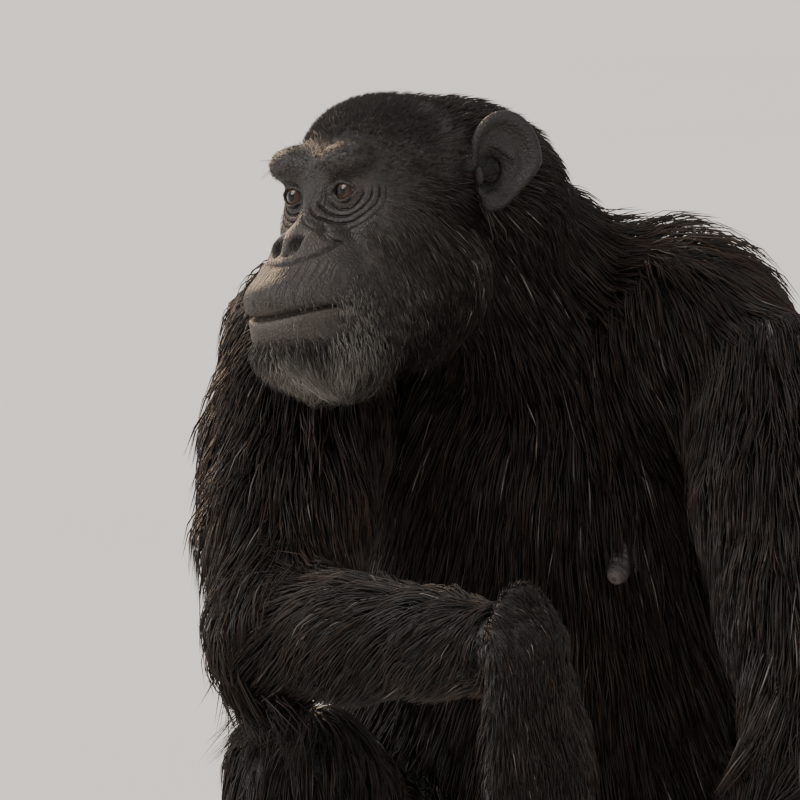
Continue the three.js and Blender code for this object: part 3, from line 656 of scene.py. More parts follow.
class Look:
    def __init__(self, name, **settings):
        self.material = bpy.data.materials.new(name)
        self.material.use_nodes = True
        self.tree = self.material.node_tree
        self.surface = self.tree.nodes["Principled BSDF"]
        for socket, value in settings.items():
            self.surface.inputs[socket.replace("_", " ")].default_value = value

    def node(self, kind, settings=None, inputs=None, output=0):
        made = self.tree.nodes.new(kind)
        for key, value in (settings or {}).items():
            setattr(made, key, value)
        for key, value in (inputs or {}).items():
            if isinstance(value, Shade):
                self.tree.links.new(value.socket, made.inputs[key])
            else:
                made.inputs[key].default_value = value
        return Shade(self, made.outputs[output])

    def place(self):
        return self.node("ShaderNodeTexCoord", output="Object")

    def along(self, a, b, c):  # a vector out of three numbers
        return self.node("ShaderNodeCombineXYZ", {}, {0: a, 1: b, 2: c})

    def number(self, name):  # a number kept at each point of the piece
        return self.node("ShaderNodeAttribute", {"attribute_name": name}, output="Fac")

    def noise(self, scale, detail=2.0, vector=None, roughness=0.55):
        return self.node("ShaderNodeTexNoise", {}, {
            "Vector": vector or self.place(), "Scale": scale, "Detail": detail, "Roughness": roughness})

    def cells(self, scale):
        return self.node("ShaderNodeTexVoronoi", {"feature": "DISTANCE_TO_EDGE"}, {
            "Vector": self.place(), "Scale": scale})

    def mixed(self, factor, a, b):
        made = self.tree.nodes.new("ShaderNodeMix")
        made.data_type = "RGBA"
        for index, value in ((0, factor), (6, a), (7, b)):
            if isinstance(value, Shade):
                self.tree.links.new(value.socket, made.inputs[index])
            else:
                made.inputs[index].default_value = (*value, 1) if index else value
        return Shade(self, made.outputs[2])

    def bump(self, height, distance):
        self.feed("Normal", self.node("ShaderNodeBump", {}, {"Height": height, "Distance": distance}))

    def feed(self, socket, value):
        self.tree.links.new(value.socket, self.surface.inputs[socket])


coatLook = {
    "black": (0.013, 0.011, 0.0095), "brown": (0.036, 0.023, 0.016), "russet": (0.11, 0.046, 0.021),
    "grey": (0.30, 0.27, 0.24), "darkShare": 0.986, "roughness": (0.48, 0.2),
}


def furMaterial(name):
    look = Look(name, Specular_IOR_Level=0.3)
    tone, pale, tip = look.number("tone"), look.number("pale"), look.number("tip")
    patch = look.noise(9.0)
    least, more = coatLook["roughness"]
    brown = (tone * 0.5 + patch * 0.45).between(0.25, 0.8)
    colour = look.mixed(brown, coatLook["black"], coatLook["brown"])
    russet = (tip * (patch + tone * 0.4)).between(0.45, 1.3) * 0.55
    colour = look.mixed(russet, colour, coatLook["russet"])
    dark = coatLook["darkShare"]
    grey = (tone.between(dark - 0.01, dark + 0.01) * 0.55 + pale).clamp()
    look.feed("Base Color", look.mixed(grey, colour, coatLook["grey"]))
    look.feed("Roughness", least + tone * more)
    return look.material


skinLook = {
    "face": {"dark": (0.016, 0.012, 0.010), "light": (0.046, 0.035, 0.028),
             "pale": (0.068, 0.053, 0.044), "creases": 0.0006, "pores": 330.0},
    "hand": {"dark": (0.013, 0.010, 0.009), "light": (0.034, 0.025, 0.021),
             "pale": (0.05, 0.04, 0.034), "creases": 0.0008, "pores": 260.0},
    # painted shade: the body's skin is darker than the hair, as the shade deep inside the coat
    "body": {"dark": (0.005, 0.0042, 0.0038), "light": (0.011, 0.009, 0.008),
             "pale": (0.01, 0.008, 0.007), "creases": 0.0006, "pores": 330.0},
}


def skinMaterial(kind):
    look, colours = Look(kind + "_skin", Specular_IOR_Level=0.4), skinLook[kind]
    pale, dusk, wrinkle = look.number("pale"), look.number("dusk"), look.number("wrinkle")
    across, upright = look.number("across"), look.number("upright")
    blotch = look.noise(38.0, 4.0)
    pores = look.cells(colours["pores"])
    fine = look.noise(900.0)
    stretched = look.along(across * 0.40, upright * 0.055, 0.0)
    streaks = look.noise(1.0, 3.0, stretched, 0.62).between(0.3, 0.7)
    wander = look.noise(140.0) - 0.5
    fold = (look.number("fold") * (math.pi / face["bagPeriod"]) + wander * 1.1).sine()
    groove = (1 - (fold * fold) ** 0.5).between(0.35, 1.0) * look.number("folded")
    broken = look.noise(70.0).between(0.3, 0.6)
    crossing = (1 - (look.number("crease") + wander * 1.4).between(0.0, 1.9)) * broken
    # painted shade in the pores and in the troughs between the streaks of fine wrinkles
    clear = (pores.between(0.0, 0.12) * 0.3 + 0.7) * (1 - wrinkle * (1 - streaks) * 0.35)
    colour = look.mixed(blotch.between(0.3, 0.72), colours["dark"], colours["light"])
    colour = look.mixed(pale.clamp(), colour, colours["pale"])
    colour = look.mixed(clear, colours["dark"], colour)
    # painted shade in hollows and under the hair: a number kept at each point darkens the skin
    colour = look.mixed(dusk.clamp(), colour, darker(colours["dark"], 0.55))
    # painted shade in the grooves of the folds under the eyes and in the nose crease
    colour = look.mixed((groove + crossing * 0.5) * 0.6, colour, darker(colours["dark"]))
    look.feed("Base Color", colour)
    look.feed("Roughness", 0.47 + blotch * 0.22)
    relief = pores.between(0.0, 0.25) * 0.5 + fine * 0.25 + streaks * wrinkle * 2.2
    look.bump(relief - groove * 2.4 - crossing * 1.6, colours["creases"])
    return look.material


# geometry nodes: a tree with named inputs, whose result is kept as a plain mesh
class Growth:
    def __init__(self, name, inputs):
        self.group = bpy.data.node_groups.new(name, "GeometryNodeTree")
        self.group.interface.new_socket("Geometry", in_out="INPUT", socket_type="NodeSocketGeometry")
        for key, kind in inputs.items():
            self.group.interface.new_socket(key, in_out="INPUT", socket_type="NodeSocket" + kind)
        self.group.interface.new_socket("Geometry", in_out="OUTPUT", socket_type="NodeSocketGeometry")
        self.start = self.group.nodes.new("NodeGroupInput").outputs
        self.end = self.group.nodes.new("NodeGroupOutput").inputs

    def node(self, kind, settings=None, inputs=None, output=0):
        made = self.group.nodes.new(kind)
        for key, value in (settings or {}).items():
            setattr(made, key, value)
        for key, value in (inputs or {}).items():
            if isinstance(value, bpy.types.NodeSocket):
                self.group.links.new(value, made.inputs[key])
            else:
                made.inputs[key].default_value = value
        return made.outputs[output]

    def attribute(self, name, kind="FLOAT_VECTOR"):
        return self.node("GeometryNodeInputNamedAttribute", {"data_type": kind},
                         {"Name": name}, "Attribute")

    def maths(self, operation, a, b):
        return self.node("ShaderNodeMath", {"operation": operation}, {0: a, 1: b})

    def finish(self, points, shape, rotation, scale):  # the shape at every point, as one mesh
        shape = self.node("GeometryNodeInstanceOnPoints", {}, {
            "Points": points, "Instance": shape, "Rotation": rotation, "Scale": scale})
        shape = self.node("GeometryNodeRealizeInstances", {}, {0: shape})
        shape = self.node("GeometryNodeSetShadeSmooth", {}, {"Geometry": shape})
        shape = self.node("GeometryNodeSetMaterial", {}, {
            "Geometry": shape, "Material": self.start["Material"]})
        self.group.links.new(shape, self.end[0])

    def run(self, name, mesh, **values):
        holder = link(bpy.data.objects.new(name, mesh))
        modifier = holder.modifiers.new("growth", "NODES")
        modifier.node_group = self.group
        for item in self.group.interface.items_tree:
            if item.in_out == "INPUT" and item.name in values:
                modifier[item.identifier] = values[item.name]
        grown = holder.evaluated_get(bpy.context.evaluated_depsgraph_get())
        result = bpy.data.meshes.new_from_object(grown)
        holder.modifiers.remove(modifier)
        holder.data = result
        holder.data.name = name
        return holder


furMade = furMaterial("coat_hair")
skinMade = {kind: skinMaterial(kind) for kind in skinLook}


def shown(obj, nodes=()):
    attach(obj, "root")
    if nodes:
        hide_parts(*nodes)
    print(obj.name, len(obj.data.vertices), "points")


def skinPiece(name, field, box, step, material, nodes):
    points, faces = surfaceNet(fieldGrid(field, *box, step))
    points = settle(field, points, step)
    obj = meshPiece(name, points, faces, material)
    shown(obj, nodes)
    return {"object": obj, "points": points, "faces": faces}


detail = {"body": 5.5, "head": 1.4, "hand": 2.3, "foot": 2.6, "nipple": 0.9}  # size of the skin's faces
headReach = [(-100, 100), (-170, 84), (-142, 62)]
limbKinds = ("thigh", "shin", "upper_arm", "forearm")
limbNodes = [kind + "_" + sideName for sideName in sides for kind in limbKinds]
bodySkin = skinPiece("skin_body", bodyField, (bodyLow, bodyHigh), detail["body"], skinMade["body"],
                     ["torso", "neck", *limbNodes])
headCorners = np.array([vec(a, b, c) for a in headReach[0] for b in headReach[1] for c in headReach[2]])
headSkin = skinPiece("skin_head", lambda p: faceField(toHead(p)), boxOf(fromHead(headCorners), 0),
                     detail["head"], skinMade["face"], ["head", "ear_right", "ear_left"])
for name, end in limbEnds.items():
    end["skin"] = skinPiece("skin_" + name, end["form"], boxOf(placesOf(end["part"], 10), 52),
                            detail[end["kind"]], skinMade["hand"], [name])


# marks on the skin, kept as numbers at its points, with what they are where nothing is marked
usualMarks = {
    "pale": 0, "dusk": 0, "wrinkle": 0, "across": 0, "upright": 0, "fold": 0, "folded": 0, "crease": 9}
faceOval = blend(12, [blob(vec(0, -128, -54), vec(46, 60, 59)), *pair(26, -108, -10, vec(23, 30, 18))])
faceMarks = {
    "muzzle": (vec(0, -136, -66), vec(40, 34, 44)), "concha": (vec(-9, 0, -6), vec(10, 12, 13)),
    "lipRim": 4.2, "lipWidth": 1.9, "lidWidth": 1.3, "noseCreaseWidth": 1.3,
    "nostrilEdge": vec(1, 2, 1.5), "upperLip": -66, "lowerLip": -98,
}


def markSkin(skin, **marks):
    for key, usual in usualMarks.items():
        keepNumbers(skin["object"], key, marks.get(key, np.full(len(skin["points"]), usual)))


def headMarks(skin):
    q = toHead(skin["points"])
    mirrored, front = halved(q), -q[:, 1]
    fromEye = mirrored - head["eye"]
    ex, ey, ez = earPlace(q)
    toCrease = fromRoute(mirrored[:, 0], q[:, 2], face["noseCrease"])
    muzzle = fade(blob(*faceMarks["muzzle"])(q), -3, 14)
    lips = bell(q[:, 2] - (mouthLine(mirrored) - faceMarks["lipRim"]), faceMarks["lipWidth"])
    inEar = fade(np.hypot(ex / 30, ez / 38) + (np.abs(ey) > 14), 0.9, 1.1)
    concha = fade(blob(*faceMarks["concha"])(np.stack([ex, ey, ez], 1)), -3, 3)
    nostril = blob(face["nostril"][0], face["nostril"][1] + faceMarks["nostrilEdge"])(mirrored)
    lidEdge = bell(almond(fromEye[:, 0], fromEye[:, 2]), faceMarks["lidWidth"]) * smooth(front, 95, 100)
    crease = bell(toCrease, faceMarks["noseCreaseWidth"]) * onFront(q)
    # painted shade: darker in the nostrils, in the ear and its concha, in the nose crease, along the lid
    # edges and under the hair round the face; a little darker on the brow ridge
    dusk = fade(nostril, -1, 1.5) * 0.75 + lidEdge * 0.7 + inEar * 0.75 + concha * 0.35 + crease * 0.5
    dusk = dusk + fade(browForm(q), 1, 7) * 0.1 + smooth(faceOval(q), 0, 10) * (1 - inEar) * 0.3
    upper = fade(np.abs(q[:, 2] - faceMarks["upperLip"]), 12, 20) * smooth(front, 96, 116)
    lower = fade(np.abs(q[:, 2] - faceMarks["lowerLip"]), 6, 13) * smooth(front, 112, 126) * 0.6
    bridge = fade(np.hypot(q[:, 0] * 0.8, q[:, 2] + 8), 6, 18) * smooth(front, 84, 94) * 0.7
    pale = np.clip(muzzle * 0.5 + lips * smooth(front, 112, 124) * 0.9, 0, 1) * (1 - inEar)
    markSkin(skin, pale=pale, dusk=np.clip(dusk, 0, 1), wrinkle=np.clip(upper + lower + bridge, 0, 1),
             across=q[:, 0], upright=q[:, 2] + 0.4 * mirrored[:, 0],
             fold=eyeRing(mirrored) - face["bagStart"], folded=underEye(mirrored),
             crease=toCrease + usualMarks["crease"] * (front < 98))


headMarks(headSkin)
markSkin(bodySkin)
for end in limbEnds.values():
    part, q = end["part"], intoPart(end["part"], end["skin"]["points"])
    knuckles = np.array([p for points in (*part["digits"], part["thumb"]) for p in points[:-1]])
    near = np.min([np.linalg.norm(q - k, axis=1) for k in knuckles], axis=0)
    if end["kind"] == "foot":
        hairy = smooth(q[:, 2], 20, 30)
    else:
        hairy = 1 - smooth(q[:, 2], -4, 6) * smooth(q[:, 1], 10, 35)
    # painted shade: the skin darkens towards the wrist or ankle, where hair covers it
    markSkin(end["skin"], wrinkle=0.35 + 0.65 * fade(near, 8, 17), across=q[:, 1] * 1.6, upright=q[:, 0],
             pale=0.5 * fade(near, 6, 16), dusk=fade(q[:, 1], 20, 70) * hairy)
print("skin marked")


# eyes: dark sclera, brown iris and a clear bulge over it
eyeLook = {
    "iris": 6.6, "pupil": 3.0, "cornea": 1.1, "corneaReach": 5.5, "gaze": vec(0.06, -1, 0),
    "rings": 26, "columns": 36, "sclera": (0.022, 0.011, 0.008), "irisColour": (0.062, 0.029, 0.014),
    "irisEdge": (0.012, 0.006, 0.004), "pupilColour": (0.002, 0.002, 0.002),
}


def eyeMaterial():
    look = Look("eye_wet", Roughness=0.1, Specular_IOR_Level=0.2, Coat_Weight=0.22, Coat_Roughness=0.04)
    ring = look.number("ring")
    spokes = look.noise(60.0, 4.0)
    iris, pupil, irisColour = eyeLook["iris"], eyeLook["pupil"], eyeLook["irisColour"]
    colour = look.mixed(spokes.between(0.35, 0.7), darker(irisColour, 0.45), irisColour)
    colour = look.mixed(ring.between(iris - 1.4, iris), colour, eyeLook["irisEdge"])
    colour = look.mixed(ring.between(iris - 0.2, iris + 0.5), colour, eyeLook["sclera"])
    colour = look.mixed(ring.between(pupil - 0.3, pupil + 0.3), eyeLook["pupilColour"], colour)
    look.feed("Base Color", colour)
    return look.material


def eyeShell(size, gaze):  # its points about its middle and its faces, pole to pole along the gaze
    rings, columns = eyeLook["rings"], eyeLook["columns"]
    polar = np.linspace(0, math.pi, rings + 1)[1:-1]
    around = (np.arange(columns) * 2 * math.pi / columns)[:, None]
    sideways = unit(np.cross(gaze, z))
    outwards = np.cos(around) * sideways + np.sin(around) * np.cross(sideways, gaze)
    radius = size + eyeLook["cornea"] * np.exp(-(polar * size / eyeLook["corneaReach"]) ** 2)
    shell = [r * (math.cos(a) * gaze + math.sin(a) * outwards) for r, a in zip(radius, polar)]
    shell = np.concatenate([(size + eyeLook["cornea"]) * gaze[None], *shell, -size * gaze[None]])
    faces, last = [], len(shell) - 1
    for i in range(columns):
        n = (i + 1) % columns
        faces.append((0, 1 + n, 1 + i))
        for k in range(1, 1 + (rings - 2) * columns, columns):
            faces.append((k + i, k + n, k + columns + n, k + columns + i))
        faces.append((last - columns + i, last - columns + n, last))
    return shell, faces


eyeMade = eyeMaterial()
gaze = unit(eyeLook["gaze"])
shell, faces = eyeShell(head["eyeRadius"], gaze)
for side, sideName in ((1, "left"), (-1, "right")):
    centre = head["eye"] * vec(side, 1, 1)
    mesh = bpy.data.meshes.new("eye_ball_" + sideName)
    mesh.from_pydata((fromHead(shell + centre) * mm).tolist(), [], faces)
    mesh.shade_smooth()
    mesh.materials.append(eyeMade)
    ball = link(bpy.data.objects.new("eye_ball_" + sideName, mesh))
    keepNumbers(ball, "ring", np.arccos(np.clip(unit(shell) @ gaze, -1, 1)) * head["eyeRadius"])
    shown(ball, ["eye_" + sideName])


# nipples: creased teats on the chest, half in the hair
nipple = {
    "left": vec(68, -20, 430), "right": vec(-72, -20, 400), "width": 17, "height": 23, "areola": 14,
    "ridgeDepth": 0.22, "ridgePeriod": 3.1,
    "dark": (0.03, 0.024, 0.022), "light": (0.10, 0.082, 0.076), "pale": (0.30, 0.24, 0.225),
}


def nippleMaterial():
    look = Look("nipple_skin", Roughness=0.4, Specular_IOR_Level=0.45)
    rings = (look.number("upright") * 1.5 + look.noise(210.0) * 4.0).sine()
    grain = look.cells(700.0)
    colour = look.mixed(look.noise(160.0, 3.0).between(0.3, 0.7), nipple["dark"], nipple["light"])
    # painted highlight: the tip is made pale
    colour = look.mixed(look.number("pale"), colour, nipple["pale"])
    # painted shade in the troughs between the rings
    colour = look.mixed(rings.between(-1.0, -0.3) * 0.6 + 0.4, darker(nipple["dark"]), colour)
    look.feed("Base Color", colour)
    look.bump(rings * 0.4 + grain.between(0.0, 0.3) * 0.5, 0.0006)
    return look.material


nippleMade = nippleMaterial()
for sideName in ("left", "right"):
    behind = nipple[sideName]
    depths = np.arange(0, 160, 0.5)
    outside = torsoFlesh(behind - depths[:, None] * y) > 0
    front = behind - y * depths[outside.argmax()]
    tip = front + vec(0, -12, -nipple["height"] * 0.3)
    teat = blend(3, [cone(front + vec(0, -1, 6), nipple["width"] * 0.6, tip, nipple["width"] * 0.46),
                     blob(tip + vec(0, -1.5, -1), vec(6.0, 6.2, 6.2))])
    pad = blob(front + vec(0, 1, 2), vec(nipple["areola"], 6, nipple["areola"] * 0.9))

    def nippleField(p):
        down = (p - front) @ unit(tip - front)
        turns = down * 2 * math.pi / nipple["ridgePeriod"] + p[:, 0] * 0.35
        ridges = nipple["ridgeDepth"] * np.sin(turns)
        return mixed(4, teat(p) + ridges * smooth(down, 0, 3) * fade(down, 12, 15), pad(p))

    box = (front - vec(20, 34, 30), front + vec(20, 14, 24))
    made = skinPiece("nipple_skin_" + sideName, nippleField, box, detail["nipple"], nippleMade,
                     ["nipple_" + sideName])
    keepNumbers(made["object"], "upright", (made["points"] - front) @ unit(tip - front))
    # painted highlight on the front of the tip
    palest = blob(tip + vec(0, -2, -2), vec(4.5, 5, 5))(made["points"])
    keepNumbers(made["object"], "pale", fade(palest, -1, 2.5))


# nails: one flattened shell on each digit's tip, turned by directions kept at its point
nails = {
    "size": vec(5.6, 7.2, 2.2), "forRadius": 6.5, "sunk": 1.0, "ahead": 1.5,
    "scale": {"hand": 1, "foot": 0.95}, "back": {"hand": -1, "foot": 1}, "segments": 18, "rings": 10,
    "dark": (0.014, 0.011, 0.009), "light": (0.036, 0.028, 0.024),
}


def nailMaterial():
    look = Look("nail_horn", Roughness=0.45, Specular_IOR_Level=0.4)
    patches = look.noise(120.0, 3.0).between(0.3, 0.7)
    look.feed("Base Color", look.mixed(patches, nails["dark"], nails["light"]))
    look.bump(look.noise(420.0), 0.0002)
    return look.material


nailTree = Growth("nail_growth", {"Segments": "Int", "Rings": "Int", "Material": "Material"})
start = nailTree.start
shell = nailTree.node("GeometryNodeMeshUVSphere", {}, {
    "Segments": start["Segments"], "Rings": start["Rings"], "Radius": 1.0})
turned = nailTree.node("FunctionNodeAxesToRotation", {"primary_axis": "Z", "secondary_axis": "Y"}, {
    "Primary Axis": nailTree.attribute("above"), "Secondary Axis": nailTree.attribute("ahead")})
nailTree.finish(start["Geometry"], shell, turned, nailTree.attribute("size"))
nailMade = nailMaterial()
for name, end in limbEnds.items():
    kind, part = end["kind"], end["part"]
    back = z * nails["back"][kind]
    spots, marks = [], {"above": [], "ahead": [], "size": []}
    for points in (*part["digits"], part["thumb"]):
        radius = digits["thumbRadii" if points is part["thumb"] else "radii"][kind][-1]
        onward = unit(points[-1] - points[-2])
        up = unit(back - onward * (back @ onward))
        spot = points[-1] + up * (radius - nails["sunk"]) + onward * nails["ahead"]
        spots.append(part["at"] + part["axes"] @ spot)
        marks["above"].append(part["axes"] @ up)
        marks["ahead"].append(part["axes"] @ onward)
        marks["size"].append(nails["size"] * radius / nails["forRadius"] * nails["scale"][kind] * mm)
    mesh = bpy.data.meshes.new("nail_spots")
    mesh.from_pydata((np.array(spots) * mm).tolist(), [], [])
    for key, values in marks.items():
        layer = mesh.attributes.new(key, "FLOAT_VECTOR", "POINT")
        layer.data.foreach_set("vector", np.array(values, np.float32).ravel())
    shown(nailTree.run("nails_" + name, mesh, Segments=nails["segments"], Rings=nails["rings"],
                       Material=nailMade))


# coat: tapered tufts that follow the lie of the hair over the whole body
def torsoLie(p):
    return direction(p, (p[:, 0] - 6) * 0.006, (p[:, 1] + 66) * 0.008, -1)


def neckLie(p):
    return direction(p, (p[:, 0] - 6) * 0.012, 0.45, -0.8)


def alongBone(p, bone):
    axis = bone[1] - bone[0]
    return (p - bone[0]) @ axis / (axis @ axis)


def boneLie(bone, share, hang):
    axis = bone[1] - bone[0]
    way = unit(axis) * share
    across = unit(np.cross(axis, z))

    def lie(p):
        along = alongBone(p, bone)[:, None]
        end = smooth(along, 0.7, 1.0) * (share > 0)
        aside = 1 - smooth(along, 0.8, 0.95) * (share < 0)  # round the wrist the hair lies aside
        return across * (1 - aside) + way * aside * (1 - 0.85 * end) - z * hang * (1 - end) - z * end
    return lie


def headLie(p):
    q = toHead(p)
    crown = smooth(q[:, 2], -45, 0)[:, None]
    nape = smooth(q[:, 1], 20, 60)[:, None]
    cheek = direction(q, 0.15 * np.sign(q[:, 0]), 0.35, -0.9)
    back = vec(0, 1, -0.1) * (1 - nape) + vec(0, 0.5, -0.9) * nape
    return (cheek * (1 - crown) + back * crown) @ headTurn.T


def beardLie(p):
    q = toHead(p)
    return direction(q, 0.35 * np.sign(q[:, 0]), -0.15, -0.9) @ headTurn.T


def browLie(p):
    q = toHead(p)
    return direction(q, 0.8 * np.sign(q[:, 0]), -0.2, 0.5) @ headTurn.T


growth = {  # curves run from a tuft's root to its tip
    "profile": [(0, 0), (0.33, 0.5), (0.66, 0.85), (1, 1)], "clump": [(0, 0), (0.5, 0.35), (1, 0.75)],
    "shape": [(0, 0.75), (0.4, 1.0), (0.75, 0.7), (1, 0)], "sunk": 2.0, "lowest": 3,
    "push": 12, "pull": 0.25, "blocked": 9, "blockedShare": 0.45, "stiffness": 0.45, "follow": 0.55,
    "strayOnward": 0.4, "corners": (90, 210, 330), "flat": 0.45, "patch": 0.003, "leastWeight": 1e-12,
}
locks = {"body": (0.75, 9), "head": (0.45, 8), "limbEnd": (0.5, 8)}  # how far tufts lean in, and how many
contact = {"at": vec(-46, -312, 352), "reach": 48, "more": 9}  # elbow over knee, hair may press in


def curveAt(curve, t):
    return np.interp(t, [a for a, b in curve], [b for a, b in curve])


def slopeOn(grid, p, reach=4.0):
    return unit(np.stack([sample(grid, p + d) - sample(grid, p - d) for d in np.eye(3) * reach], -1))


def flattened(way, normal):
    return unit(way - normal * (way * normal).sum(1, keepdims=True))


def growTufts(roots, lie, length, depth, lift, droop, stray, steps=3):
    n = len(roots)
    free = np.ones(n, bool)
    normal = slopeOn(wholeGrid, roots)
    way = flattened(lie(roots), normal)
    way = unit(way + np.cross(normal, way) * rng.normal(0, stray, (n, 1)))
    way = unit(way * np.cos(lift)[:, None] + normal * np.sin(lift)[:, None])
    p = roots - normal * growth["sunk"]
    stations, normals = [p], [normal]
    for k in range(1, steps + 1):
        p = p + way * (length / steps)[:, None]
        normal = slopeOn(wholeGrid, p)
        error = depth * curveAt(growth["profile"], k / steps) - sample(wholeGrid, p)
        pressed = contact["more"] * (np.linalg.norm(p - contact["at"], axis=1) < contact["reach"])
        free = free & (error < growth["blocked"] + pressed + growth["blockedShare"] * depth)
        p = p + normal * np.clip(error, -growth["pull"] * length / steps, growth["push"])[:, None]
        p[:, 2] = np.maximum(p[:, 2], growth["lowest"])
        way = unit(p - stations[-1]) * growth["stiffness"] + flattened(lie(p), normal) * growth["follow"]
        way = unit(way - z * droop + rng.normal(0, stray * growth["strayOnward"], (n, 3)))
        stations.append(p)
        normals.append(normal)
    return np.stack(stations, 1), np.stack(normals, 1), free


def gather(stations, share, size):  # neighbours lean together into locks
    count = max(len(stations) // size, 1)
    guides = rng.choice(len(stations), count, replace=False)
    tree = kdtree.KDTree(count)
    for i, g in enumerate(guides):
        tree.insert(stations[g, 0], i)
    tree.balance()
    towards = stations[guides[[tree.find(p)[1] for p in stations[:, 0]]]]
    pull = curveAt(growth["clump"], np.linspace(0, 1, stations.shape[1]))[None, :, None] * share
    return stations + (towards - stations) * pull


def tuftMesh(name, stations, normals, free, width, tone, pale, unwrap):
    stations, normals, width = stations[free], normals[free], width[free]
    tone, pale, unwrap = tone[free], pale[free], unwrap[free]
    n, rings = stations.shape[:2]
    ways = unit(np.gradient(stations, axis=1))
    aside = unit(np.cross(ways, normals))
    over = np.cross(aside, ways)
    verts = []
    for k in range(rings - 1):
        half = (width * curveAt(growth["shape"], k / (rings - 1)) / 2)[:, None]
        for a in growth["corners"]:
            c, s = math.cos(math.radians(a)), math.sin(math.radians(a))
            outwards = aside[:, k] * half * c
            verts.append(stations[:, k] + outwards + over[:, k] * half * s * growth["flat"] * 2)
    verts = np.stack([*verts, stations[:, -1]], 1)
    each = verts.shape[1]
    pattern = [(0, 2, 1)]
    for a in range(each - 1):
        b = a + 1 if a % 3 < 2 else a - 2
        pattern += [(a, b, each - 1)] if a + 3 >= each - 1 else [(a, b, b + 3), (a, b + 3, a + 3)]
    faces = (np.arange(n)[:, None, None] * each + np.array(pattern)).reshape(-1, 3)
    obj = meshPiece(name, verts.reshape(-1, 3), faces, furMade)
    keepNumbers(obj, "tone", np.repeat(tone, each))
    keepNumbers(obj, "pale", np.repeat(pale, each))
    along = np.array([k / (rings - 1) for k in range(rings - 1) for _ in range(3)] + [1.0])
    keepNumbers(obj, "tip", np.tile(along, n))
    across = np.array([(i - 1) / 2 for _ in range(rings - 1) for i in range(3)] + [0.0])
    offset = np.stack([across, along - 0.5], 1) * growth["patch"]
    spots = (np.clip(unwrap, 0.005, 0.995)[:, None] + offset[None]).reshape(-1, 2)
    layer = obj.data.uv_layers.new(name="OFBake")
    layer.uv.foreach_set("vector", spots[faces.ravel()].astype(np.float32).ravel())
    shown(obj)


def turnAbout(a, b):
    return np.arctan2(a, b) / (2 * math.pi) + 0.5


def aroundBone(p, bone):
    axis, off = bone[1] - bone[0], p - bone[0]
    a = unit(np.cross(axis, vec(0.3, 1, 0.2)))
    b = unit(np.cross(axis, a))
    return np.stack([turnAbout(off @ a, off @ b), np.clip(alongBone(p, bone) * 0.8 + 0.1, 0, 1)], 1)


def scatter(skin, weight, count):  # roots over the skin, as many as its weight says
    points, faces = skin["points"], skin["faces"]
    corners = points[faces]
    across = np.cross(corners[:, 2] - corners[:, 0], corners[:, 3] - corners[:, 1])
    chance = 0.5 * np.linalg.norm(across, axis=1) * (weight(corners.mean(1)) + growth["leastWeight"])
    c = corners[rng.choice(len(faces), count, p=chance / chance.sum())]
    u, w = rng.random((2, count, 1))
    return (c[:, 0] * (1 - u) + c[:, 1] * u) * (1 - w) + (c[:, 3] * (1 - u) + c[:, 2] * u) * w


partNames = list(parts)
bodyMiddle = (vec(0, 0, 0), vec(0, -40, 640))  # the coat of torso and neck is unwrapped about this line
bodyStray = 0.16
coat = {  # share: how far hair follows the bone; hang: how far it falls; fading: how short it ends
    "torso": {"length": 62, "depth": 17, "lift": 18, "droop": 0.10, "width": 1.35, "lie": torsoLie},
    "neck": {"length": 46, "depth": 15, "lift": 20, "droop": 0.06, "width": 1.2, "lie": neckLie},
    "upperArm": {"length": 66, "depth": 17, "lift": 22, "droop": 0.18, "width": 1.3,
                 "share": 1, "hang": 0.35, "fading": 0},
    "forearm": {"length": 58, "depth": 12, "lift": 20, "droop": 0.34, "width": 1.15,
                "share": -1, "hang": 0.6, "fading": 0.5},
    "thigh": {"length": 56, "depth": 13, "lift": 18, "droop": 0.12, "width": 1.35,
              "share": 1, "hang": 0.4, "fading": 0.25},
    "shin": {"length": 44, "depth": 10, "lift": 18, "droop": 0.12, "width": 1.25,
             "share": 1, "hang": 0, "fading": 0.45},
}
coatCounts = {"chest": 12200, "back": 10500, "arm": 12200, "leg": 8600}
coatZones = {  # place, reach, and how far depth and length grow there
    "outerArm": (vec(-190, -200, 480), 120, 0.75, 0.2),
    "elbow": (vec(-85, -320, 372), 75, 0.5, 0.4),
    "overKnee": (vec(-38, -316, 366), 50, 1.1, 0.6),
    "thighTop": (vec(-58, -285, 338), 44, 0.8, 0.1),
    "knee": (vec(-150, -250, 280), 70, -0.3, -0.1),
    "shoulder": (vec(160, -60, 610), 110, -0.6, -0.2),
    "nape": (vec(45, -30, 640), 70, 0.45, 0.2),
}


def inZones(p):
    depth, length = np.ones(len(p)), np.ones(len(p))
    for at, reach, deeper, longer in coatZones.values():
        near = fade(np.linalg.norm(p - at, axis=1), reach * 0.35, reach)
        depth, length = depth + deeper * near, length + longer * near
    return depth, length


def partValues(p):
    return np.stack([form(p) for form in parts.values()])


